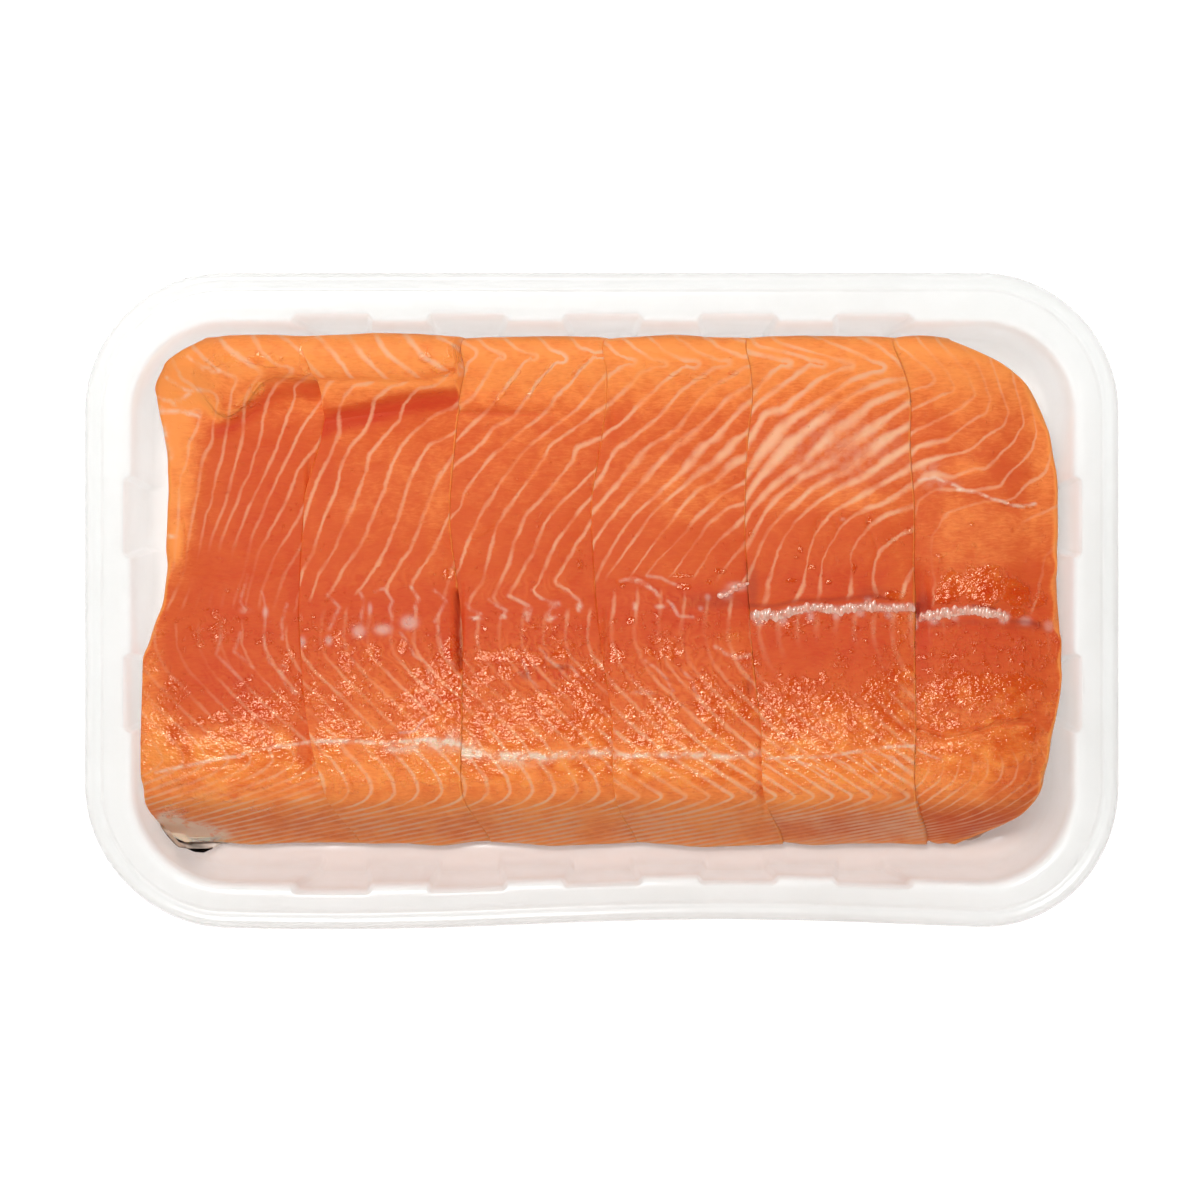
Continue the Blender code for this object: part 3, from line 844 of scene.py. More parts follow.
PORTION_2 = PortionStyle(
    name="portion_2", level=0.0007, base_width=0.95, base_gain=0.7,
    folds=trace(-100, 1, -50, 1, -44, 0.95),
    first_lip=trace(-95, 70, -80, 70.2, -60, 70.3, -52, 71, -46, 72.4, -42, 73),
    second_lip=trace(-95, 58.5, -86, 60, -77, 62, -70, 63.5, -63, 65, -57, 65.8, -47, 66.6, -42, 69),
    belly_lines=traces(
        (-73, 69.3, -78.5, 68, -81.5, 65, -83.5, 60.5, -83.5, 54, -87, 45, -90, 39.5, -92.5, 33, -98, 14),
        (-62.5, 69, -66.5, 68, -72, 64, -73.5, 58, -76, 53.5, -80, 49, -83, 43, -84.8, 34.5, -88.5, 26,
            -92, 15, -94.5, 10.5, -97, 2),
        (-52, 68.8, -59, 66.7, -63, 62, -64.5, 57.5, -70.5, 51, -74, 46, -75.5, 40, -78, 33, -85, 16.5,
            -90, 8, -92, 2),
        (-42, 69, -46, 62.5, -54, 58.5, -59.5, 54, -64, 49, -67, 43, -69.5, 35, -75, 21, -77.5, 16.5,
            -82, 10, -87, 1),
        (-43, 56, -50, 52, -54.5, 50, -58.5, 44, -61, 39, -65, 25.5, -68, 18, -71, 12, -78, 2),
        (-45, 49, -52, 39, -61, 16, -64, 12, -68.5, 4, -67, 0),
        (-48.8, 26.5, -54, 15, -59, 8, -60.5, 4.5, -58, 0),
    ),
    flap_lines=traces(
        (-94, 77, -91, 73, -88, 70.3), (-91, 85, -84.5, 78, -79, 70.5), (-81, 85, -76, 78, -68.3, 70.5),
        (-71.8, 84.5, -67.8, 78, -58.7, 71), (-61.8, 84, -57, 78, -48.3, 72),
        (-52, 84, -45, 79.5, -38, 74),
    ),
    back_lines=BackLines(-58, 7.4, BACK_COURSE_STEEP),
    spine=trace(-97, -3, -80, 0, -60, 0, -46, -2),
    widths=marks((-68, 79, 30, 8, 0.55), (-70, 32, 18, 12, 0.15)),
    gains=marks(
        (-68, 79, 30, 8, 0.2), (-88, 52, 9, 12, -0.25), (-76, 6, 20, 6, -0.12), (-70, -8, 24, 9, -0.5),
        (-78, -30, 16, 9, 0.1),
    ),
    tones=marks(
        (-70, 58, 20, 5, -0.2), (-88, 42, 5, 12, -0.3), (-68, 69, 24, 2, 0.25), (-66, -71, 24, 7, 0.15),
        (-66, 33, 18, 14, 0.12), (-52, 30, 5, 20, 0.25), (-70, -5, 24, 9, -0.15), (-74, -30, 12, 10, 0.2),
        # (-48, -8) is painted shade beside the slit at the cut.
        (-48, -8, 4, 10, -0.2), (-52, 12, 8, 6, 0.2),
        # This stroke, with the mark at (-70, 58), is painted shadow below the folded belly's lower lip.
        ((-91, 55, -86, 56.6, -77, 58.8, -70, 60.4, -63, 61.9, -57, 62.8, -46, 63.6), 2.6, -1.2),
    ),
    wet=marks(
        (-55.5, 76.8, 2.5, 1.8), (-47, 77.5, 3.2, 3.6, 1.1), (-50, 73, 4, 2, 0.8),
        (-48.5, 8.5, 2.6, 2.2, 0.9), (-81.5, -18.5, 2.4, 2.4), (-72, -16, 2.4, 3.6, 0.9),
        (-63.5, -14.5, 1.8, 2.4, 1.1), (-48, -14.5, 2.2, 3.8, 1.1), (-58, -22.5, 2, 1.6),
        (-56, -31, 7, 5, 0.8), (-47, -34, 2.6, 5, 0.9), (-81, -43, 1.6, 1.6, 0.8),
        (-71, -42, 1.8, 1.4, 0.9), (-58, -40, 5, 3, 0.6), (-46, -50, 1.6, 4, 0.8), (-50, -24, 6, 8, 0.5),
        (-90, -25, 3, 10, 0.2),
    ),
    fat=marks(
        (-53, -45.5, 8, 2.6, 0.8), (-64, -46.8, 6, 1.6, 0.6), (-47, -44, 3, 4, 0.5),
        ((-92, -44.2, -80, -44.3, -70, -44.8, -60, -44.2, -52, -43.5, -44, -45.5), 0.6, 0.85),
        ((-44.5, 84, -43, 78, -45, 72), 0.7, 0.5), ((-87, 2, -83.2, -2, -86.5, -9), 0.45, 0.3),
        ((-76.6, 2.6, -75.4, 0, -76.2, -4, -76.5, -7), 0.45, 0.3),
        ((-72, 3, -69, 4, -66.4, 0, -67.4, -2.5, -66.3, -6), 0.4, 0.35),
        ((-60.5, 4.6, -58, 0.5, -59.2, -2, -58.8, -5), 0.45, 0.5),
        ((-53, 3.4, -49.5, 0, -51.5, -4, -53, -6.5), 0.45, 0.3),
        ((-63.8, -10, -61, -14, -59.5, -17, -55.5, -20, -53.8, -26), 0.45, 0.35),
        ((-52, -8, -51, -14, -49.5, -17.5, -46, -21), 0.4, 0.3),
    ),
    bone=marks(
        (-86.5, -12.5, 1.2, 1.6), (-95, -13, 1.3, 2, 0.9), (-77, -9.6, 2.3, 2.3),
        (-69.4, -9, 2.9, 1.9, 1.1), (-61, -6.8, 2.9, 2.4, 1.2), (-73.5, -2.4, 0.8, 2, 0.8),
        ((-63.8, -41.6, -59.2, -41.2, -56, -37), 0.3, 0.9),
    ),
    # Painted shade in the slit at the cut.
    blood_and_shade=marks(((-45.9, 2, -45.6, -8, -45, -20), 0.7, 0.8)),
    relief=marks(
        (-61, -6.8, 2.6, 2.2, 0.25), (-69.4, -9, 2.6, 1.8, 0.25), (-77, -9.6, 2.2, 2.2, 0.25),
        ((-50, 20, -44, 12, -40, 8), 0.8, 0.3), ((-45.8, 3, -45.6, -8, -45.2, -21), 0.9, -2.2),
    ),
    flakes=marks((-70, -22, 27, 20, 0.9), (-68, 8, 24, 6, 0.5)),
)
PORTION_3 = PortionStyle(
    name="portion_3", level=0.0002, base_width=0.95, base_gain=0.72,
    belly_lines=traces(
        (-47, 84, -39.7, 79.3, -45, 70),
        (-40, 84, -37, 81, -30.5, 77.5, -34, 75.5, -39.5, 67, -42, 64, -46, 61),
        (-31, 83.5, -27, 80, -24, 78.5, -20.5, 77.5, -24.5, 75.5, -35.5, 61.5, -46, 51.5),
        (-20, 83.5, -16.5, 80, -12, 78, -11, 76.6, -15.5, 74.5, -19, 71, -28.5, 58.5, -34.5, 55,
            -38, 50.5, -41, 47.5, -46.5, 43.5),
        (-10, 83.5, -7, 80.5, -3, 79, 1.5, 78, -4, 76, -7, 73, -9.5, 69.5, -14.5, 65, -16.5, 61.5,
            -20, 58, -26, 54, -36, 45, -40, 40, -43.5, 34.5, -45, 30, -49, 25),
        (0, 84, 6, 79.5, 2.5, 73, -8, 61, -22.5, 50, -26, 46.5, -33, 36.5, -39, 26.5, -41.5, 21.5,
            -44, 14),
        (2.5, 63, -16, 49.8, -21, 41.5, -31.5, 27, -33.5, 23.5, -38, 6, -42, 0),
        (5, 54, -7.5, 49, -10, 43.5, -13, 39.5, -24, 27.5, -28, 18, -29.5, 12, -34.5, 1, -31, -3),
        (0, 43.5, -14, 30, -18, 25, -22, 15, -24.5, 11, -29, 2, -24, -2),
        (-2, 34, -7, 29, -14, 19.5, -16.5, 14.5, -20, 6, -21.8, 3, -18, 0),
        (-3, 25.5, -8, 18, -15, 6, -6, 0),
    ),
    back_lines=BackLines(-52, 7, BACK_COURSE_STEEP),
    spine=trace(-47, -4, -30, -3, -15, -1, 1, 0),
    widths=marks((-5, 50, 8, 4, 0.4)),
    gains=marks(
        (-14, 77, 26, 4, 0.35), (-22, 68, 26, 6, 0.15), (-40, 62, 8, 4, -0.3), (-33, 12, 9, 10, -0.15),
        (-22, -12, 24, 9, -0.45), (-22, -30, 22, 12, -0.15),
    ),
    tones=marks(
        # (-32, 60.2) is a painted shadow line under the far ridge.
        (-22, 68, 26, 7, 0.05), (-32, 60.2, 12, 1.6, -0.4), (-18, -71, 26, 7, 0.3),
        (-22, 44, 20, 14, 0.12), (-22, -10, 24, 7, -0.12), (-20, -22, 14, 5, -0.2), (-41, 18, 6, 7, 0.2),
        # (-44, -10) is painted shade beside the cut, and the three marks after it are painted shade in
        # small pits.
        (-44, -10, 2.5, 14, -0.25), (-24.6, -23, 1.2, 1.8, -0.8), (-20.5, -24.2, 1.4, 1, -0.7),
        (-13, -22.8, 3, 1.8, -0.6),
    ),
    wet=marks(
        (-47, 2, 1, 1.4), (-37, -17.5, 4, 2, 0.9), (-29, -17, 5, 2.5), (-31, -23, 2.5, 2.5),
        (-38, -23.5, 2.5, 3, 0.9), (-13, -16.8, 3.5, 1.8, 0.8), (-22, -19, 4, 2, 0.7),
        (-36, -40, 4, 4, 0.9), (-24, -34.5, 5, 3.5, 0.9), (-18.5, -32, 3, 4), (-12, -28.5, 3, 1.5, 0.9),
        (-11, -40, 5, 3, 1.1), (-4, -35, 6, 6, 0.8), (-5, -43, 9, 3.5, 0.8), (-12, -48.6, 9, 1.5, 0.9),
        (1, -48.5, 4, 2.5, 1.2), (-10, -53, 9, 2.5, 0.8), (0, -55, 5, 3, 0.6),
        (-37.5, -53, 1.2, 1.4, 1.2), (-24, -57.5, 3, 1.2, 0.9), (-30, -56, 4, 2, 0.5),
        (-7, 13, 1.5, 3.5, 0.5), (-3, -22, 5, 5, 0.4), ((-34, 63, -30, 68.5, -26.5, 73), 0.6),
        ((-25, 63.5, -20, 70, -15.5, 75.5), 0.5, 0.8), ((-9, 71.5, -5, 76), 0.7, 0.8),
    ),
    fat=marks(
        (-42, -47.5, 5, 3.4, 0.6), (-26, -50, 12, 2.6, 0.45), (-15, -1, 1.8, 1.3, 0.8),
        (-16.5, -5.5, 1.6, 1.2, 0.7), (-40, -5.5, 2.2, 0.7, 0.5), (-24, -3.5, 1.3, 1.6, 0.5),
        (-7, -2, 1.2, 1.5, 0.5), (-31, -5, 1, 0.8, 0.5),
        ((-46, -46, -42, -48.2, -30, -49, -20, -49, -10, -48.5, 0, -48, 5, -47.4), 1),
        ((-43, -1, -41.5, -2.8, -38.5, -4, -40.5, -6), 0.5, 0.4),
        ((-35.6, 0.4, -34, -1, -30.3, -3, -32, -5.5), 0.45, 0.35),
        ((-29.5, 1.6, -26, 0, -22.5, -2, -23.6, -6), 0.5, 0.45),
        ((-22, 3.3, -19.5, 1, -15, -1, -17.8, -5.5, -14.5, -5), 0.45, 0.4),
        ((-14.5, 6, -11, 3, -6.8, 0, -7.4, -3), 0.45, 0.35),
        ((-19.5, -15, -17.5, -18, -14.5, -20.5, -10.5, -20, -7, -24), 0.45, 0.35),
        ((-27, -16, -24.5, -20, -22.6, -25, -20, -27), 0.4, 0.35),
    ),
    # Painted shade in the small pits.
    blood_and_shade=marks((-24, -23.5, 1.5, 2, 0.7), (-13, -21, 4, 0.8, 0.5)),
    relief=marks(
        (-24, -23, 1.4, 2.2, -0.3), (-13, -21, 4.5, 0.8, -0.7), (-41, 14, 6, 5, 0.3),
        (-45, -8, 1.4, 14, -0.8), ((-46, 63.6, -36, 63.4, -24, 63.4, -16, 63.6), 2.2, 0.9),
        ((-46, 60.4, -36, 60.3, -24, 60.2, -16, 60), 0.8, -0.7), ((-42, 19, -36, 21, -33, 24), 0.6, -0.3),
    ),
    flakes=marks((-22, -24, 26, 22), (-24, 4, 22, 6, 0.6)),
)
PORTION_4 = PortionStyle(
    name="portion_4", level=0.0006, base_width=1.1, base_gain=0.74,
    belly_lines=traces(
        (-1, 84, 4, 79, 11, 75.5, 7, 74.7, 4, 73, -3, 66.5),
        (6.5, 84, 10.5, 80, 14.5, 77.5, 20.5, 75.4, 12.5, 72.5, 6.5, 66, -2, 59),
        (15, 84, 20, 79, 25, 76.7, 31, 75.4, 24.5, 73.2, 20, 70, 11, 61.5, 8, 58, -3, 50),
        (23.5, 84, 30, 79, 35, 77, 41, 75.5, 34, 73, 25, 66.5, 16.5, 57, 4.5, 48, 2, 44, 0.5, 40.5,
            -3, 36),
        (32.5, 84, 38, 80, 48.5, 76, 34, 67, 31, 64, 24.5, 55.5, 20.5, 52.5, 14.5, 49, 4, 36, -4, 27),
        (42, 84, 50, 80, 47.5, 69, 40.5, 65, 36.5, 60.5, 29, 53.5, 23.5, 49.5, 5.5, 29.5, 1.5, 24.5,
            -2, 19.5, -4, 14),
        (48, 64, 44.5, 61, 36, 52, 32, 49, 26, 41.5, 10.5, 27.5, 6, 21.5, 0, 11, -2, 6),
        (46.5, 54, 42.5, 51, 40, 48, 35, 43.5, 29.5, 39.5, 20, 31.5, 16, 27.5, 1.5, 7.5),
        (46, 46, 41, 43, 36.5, 38.5, 31, 35.5, 26, 30.5, 14.5, 15.5, 8, 6),
        (45.5, 38, 39, 34.5, 30, 26.5, 25.5, 20.5, 17, 12, 14, 8), (45, 31, 40, 29.5, 34.5, 25, 23, 9.5),
        (46, 27, 37.5, 19.5, 34.5, 16, 31, 10),
    ),
    back_lines=BackLines(-33, 7.4, BACK_COURSE_SHARP),
    spine=trace(-2, 4, 12, 6, 28, 5, 47, 2),
    widths=marks(
        (33, 47, 17, 8, 1.3), (12, 44, 6, 6, 0.9), (44, 62, 6, 4, 0.8), (20, 14, 24, 13, -0.55),
        (22, 80, 26, 4, -0.2),
    ),
    gains=marks(
        (35, 45, 14, 9, 0.15), (22, 14, 24, 12, -0.2), (22, 76, 26, 3, 0.15), (24, -12, 26, 12, -0.55),
        (34, -30, 16, 8, -0.15),
    ),
    tones=marks(
        (25, 32, 22, 9, 0.25), (24, -2, 24, 9, -0.22), (30, -10, 20, 6, -0.1), (42, -13, 6, 5, 0.35),
        (22, 79, 26, 4, 0.1), (20, 58, 18, 5, -0.05), (30, -71, 26, 7, 0.3), (20, 11, 20, 7, 0.15),
        (20, 42, 20, 10, 0.1), (4, 58, 3, 7, -0.25), (46, 5, 2, 12, -0.25),
    ),
    wet=marks(
        (23, 72, 2.5, 0.8), (30.5, 71.5, 3, 1.2, 1.2), (42, 72.3, 1.8, 0.9, 1.1),
        (38.5, 69.5, 1.6, 0.7, 0.8), (6.6, 5, 0.8, 0.8, 1.6), (26, 4.5, 2.5, 1.2, 0.9), (37.5, 9.5, 2, 1),
        (34, 6, 1, 0.8), (26, 8, 4, 0.8, 0.7), (9, -6.5, 1.6, 1, 0.9), (4.5, -17, 2.5, 2.5, 0.7),
        (21.5, -16.5, 4.5, 2, 0.9), (14, -16, 3, 1.5, 0.6), (40, -11.5, 4, 2, 0.6),
        (45, -17.5, 3.5, 1.5, 0.9), (43, -28.5, 3, 2.4, 1.1), (46, -35, 3.5, 2.5),
        (20.5, -33.5, 5.5, 2.5, 1.2), (23, -39.5, 4.5, 2, 1.2), (9, -36, 1.8, 4.5), (14, -37, 4, 3, 0.7),
        (35, -35.5, 4, 3, 0.9), (36, -42, 4, 2.5, 0.9), (15, -44, 9, 3.5, 0.9), (28, -45, 7, 3.5),
        (25, -49, 22, 1.3, 0.9), (22, -53, 10, 3, 0.9), (38, -54, 8, 3, 0.8), (11, -53, 5, 4, 0.9),
        (27, -57.5, 4, 2, 0.7), (45, -56, 4, 3, 0.7), (33, -25, 4, 3, 0.4),
    ),
    fat=marks(
        (13, -29, 4, 0.9, 0.3), (18.5, -1.8, 1.6, 0.8, 0.6), (10.5, -1.8, 0.9, 1.5, 0.6),
        ((4, -48.9, 15, -48.6, 30, -48.7, 40, -49.3, 52, -47.6), 0.8, 0.9),
        ((6, 6.4, 10, 7.4, 14, 5.8, 18, 2.4), 0.45, 0.4), ((8, 7, 13, 5.6, 16, 3.6, 18, 1.6), 0.5, 0.45),
        ((14.5, 8, 19, 7.4, 21.5, 5.8, 25, 4.8), 0.45, 0.35),
        ((21, 0, 22.5, -1, 24.5, -4.8, 29, -5), 0.4, 0.35),
        ((14, -19, 17, -21, 20.5, -24.5, 22.5, -28.5), 0.45, 0.35),
        ((25.5, -22, 28.5, -25, 29.5, -29, 32, -32.5), 0.45, 0.35),
        ((36, -14.5, 39, -16.5, 43.5, -18, 47, -17), 0.6, 0.35),
    ),
    bone=marks(
        (43, 4.6, 3.4, 1.6, 0.9), (39.5, 2, 2.2, 1.8, 0.7), (33.6, 1.2, 1, 1.1, 0.9),
        (31.4, -2.4, 0.9, 0.9, 0.7), ((22, -1, 24, -4.5), 0.35, 0.6),
    ),
    # The backbone's dark red vein, with painted shade in the notch at (46.8, -27) and along the cut on the
    # right.
    blood_and_shade=marks(
        (36, 0, 12, 3, 0.45), (46.8, -27, 1.5, 2.6, 0.4), ((46.3, 12, 46.6, 4, 47, -2), 0.6, 0.7),
    ),
    relief=marks(
        (46.8, -27, 1.6, 2.8, -0.8), (43, 4.6, 3, 1.6, 0.25), (45, -16, 6, 4, 0.3),
        (51, -55, 2, 18, -1.4), (1.5, -10, 1.2, 8, -0.6),
        ((6, 6.4, 10, 7.4, 14, 5.8, 18, 2.4), 0.8, 0.45), ((2.6, 62, 3, 55), 0.7, -0.4),
    ),
    flakes=marks((24, -26, 26, 22), (22, 4, 22, 7, 0.7)),
)
PORTION_5 = PortionStyle(
    name="portion_5", level=0.0004, base_width=1.45, base_gain=0.9,
    belly_lines=traces(
        (46, 79, 60, 75.6, 55, 73.5, 51.5, 70, 46, 63),
        (50, 80.8, 71, 75.5, 66, 74.8, 62.5, 72.5, 53, 65.5, 49, 62, 46, 58),
        (57, 81.5, 79.7, 75, 76, 73.8, 69, 70.3, 58, 61.5, 54.5, 60.5, 51.5, 59, 45, 48),
        (70, 83, 83, 77.5, 89.8, 74, 79, 70, 60, 57.5, 56.5, 54.5, 51, 47.5, 44, 37),
        (81.5, 84, 88, 80.5, 92, 77.5, 95.5, 74, 97.5, 71, 90, 69.7, 84, 67.5, 79, 65, 67, 56, 60, 50,
            51, 40, 47.5, 35.5, 43, 27),
        (97, 67.5, 86, 63, 75, 54.5, 63, 43, 55, 37, 51, 33, 47.5, 29, 44, 22),
        (98.5, 63.5, 85, 54.5, 77, 48.5, 73, 44.5, 64, 39.5, 56, 33, 52.5, 29, 46, 17),
        (97, 55.5, 89, 50.5, 77, 41.5, 68, 36.5, 57, 27, 53.5, 23, 51, 18.5, 46, 6),
        (96.5, 48.5, 83.5, 39.5, 75, 35.5, 70, 32.5, 65, 28.5, 61, 24.5, 58.5, 21, 56.5, 17, 53.5, 8,
            52.5, 2),
        (97.5, 42, 74, 28.5, 70, 24.5, 67.5, 20.5, 65.5, 14, 64, 5),
        (98, 36.5, 94, 33.5, 90, 31.3, 85, 29.5, 80, 27, 76.5, 24, 71.5, 16, 70, 12, 69.3, 4),
        (97.5, 29.5, 91, 27.5, 86, 24.5, 82, 20, 79.5, 16, 79, 3),
        (97.5, 22, 92, 19, 88.5, 16, 87, 12, 86.3, 8, 87, 2),
    ),
    back_lines=BackLines(33, 6, BACK_COURSE_SHARP),
    spine=trace(46, -4, 60, -2.6, 80, -1.4, 99, -1),
    widths=marks(
        (76, 50, 28, 13, 1.45), (55, 48, 8, 12, 0.9), (72, 80, 28, 5, -0.6), (72, 72, 20, 3, -0.2),
        (72, 16, 34, 15, -0.85), (72, -50, 34, 30, -0.7),
    ),
    gains=marks(
        (72, 14, 32, 13, -0.5), (72, -22, 34, 19, -1), (76, 48, 26, 13, 0.2), (72, 80, 28, 6, -0.2),
        (72, -46, 34, 6, -0.5), (74, -71, 30, 8, -0.65),
    ),
    tones=marks(
        (72, 33, 26, 5, 0.35), (72, -14, 26, 9, -0.1), (78, -73, 28, 6, -0.3), (72, 6, 26, 6, -0.2),
        (94, 5, 4, 16, 0.3), (96, -20, 3.5, 22, 0.25), (55, -16, 6, 9, -0.1), (76, -56, 22, 7, 0.15),
        (60, -64, 8, 4, 0.2), (88, 30, 8, 5, 0.15),
    ),
    wet=marks(
        (47.5, 21.5, 0.8, 1.4), (63, 16.5, 0.9, 1.2), (61.5, 14, 1, 0.8, 0.9), (66.5, 10.8, 1.6, 1, 1.1),
        (60, 6.4, 3, 1, 0.9), (72, 6, 1.2, 0.8), (85, 25.5, 1.2, 1.6, 0.8), (92, 19, 2, 0.8, 0.8),
        (97, 22, 1.6, 1.4, 0.8), (80, 10.5, 0.8, 2, 0.7), (51, -6, 2, 1.2, 1.4),
        (58.5, -7.6, 2, 0.8, 0.8), (66.5, -6.8, 2, 0.8, 0.8), (93, 2, 4, 2, 0.8), (91, -5, 1.5, 0.8, 0.9),
        (70, -24, 1.6, 2.4, 0.6), (65.5, -32, 4, 2.5), (57, -35.5, 4.5, 3, 1.1), (75, -31, 4, 4, 0.8),
        (81, -36, 5, 3, 0.9), (85, -28, 3, 3.5), (93, -24, 2.5, 2.5, 1.1), (97, -23, 1.8, 3, 1.2),
        (92, -37, 5, 4), (62, -42, 8, 4, 0.9), (75, -45, 12, 3, 0.8), (88, -45, 8, 3, 0.8),
        (60, -50, 7, 3.5, 0.7), (70, -52, 10, 3.5, 0.7), (86, -52, 11, 3.5, 0.7), (60, -60, 5, 1.8, 0.5),
        (82, -59, 9, 1.8, 0.4), (95, -40, 3, 8, 0.7), (68, -37, 14, 4, 0.5),
    ),
    fat=marks(
        (76.5, 26, 1.2, 0.6, 0.3), (76, 48, 24, 12, 0.14),
        ((52, -49.8, 62, -49.3, 72, -49, 80, -47.6, 90, -46.2, 101, -45.6), 0.4, 0.75),
        ((62, -50.6, 68, -52.6, 71.5, -55), 0.3, 0.6), ((73, -49.6, 77, -51.4, 80, -53.6), 0.3, 0.6),
        ((83, -50, 87, -53.8), 0.3, 0.6), ((85, -47.6, 92, -49.4, 95, -52), 0.3, 0.6),
    ),
    bone=marks(
        (57.5, -6, 1.5, 1.8, 0.8), (66.2, -5, 1.2, 1.8, 0.8), (74.3, -4.8, 1.2, 1.4, 0.8),
        (82, -4, 1.6, 1.2, 0.7), (91, -4.6, 1.4, 1.2, 0.7), (84.5, 0.4, 1.4, 1.2, 0.7),
        (50, -6.4, 1.8, 1.6, 0.8),
        ((48, -4.6, 52, -4.2, 56, -4.4, 61, -3, 68, -1.9, 75, -2.8, 80, -2, 84, -1.8, 90, -2.2, 99, -1.9),
            1.2, 0.7, 0.6),
    ),
    blood_and_shade=marks(
        (48, 4, 2, 8, 0.5), (86, 3, 6, 2, 0.3),
        ((47, -1.4, 55, -1.6, 62, 0.2, 75, 0.6, 86, 1.6, 92, 0.6), 0.6, 0.5),
    ),
    relief=marks(
        (72, -4, 28, 2.6, 0.25), (74, 26, 3.6, 1.4, 0.25), (97.5, -63, 2.4, 12, -1),
        (60, -64, 10, 5, 0.25), ((47, -3.4, 60, -1.6, 75, -0.9, 99, -0.4), 1.6, -0.35),
        ((68, 20, 68.6, 25, 71, 27.3, 74, 26.5, 75.5, 22), 0.4, -0.3),
        ((76.6, 24, 79, 27, 82, 28, 84.5, 27, 85, 23), 0.4, -0.35),
        ((84.6, 25, 86.6, 20.5, 88, 16, 86.6, 11), 0.4, -0.3),
    ),
    flakes=marks((76, -42, 26, 14, 0.7), (72, 14, 24, 10, 0.3)),
)
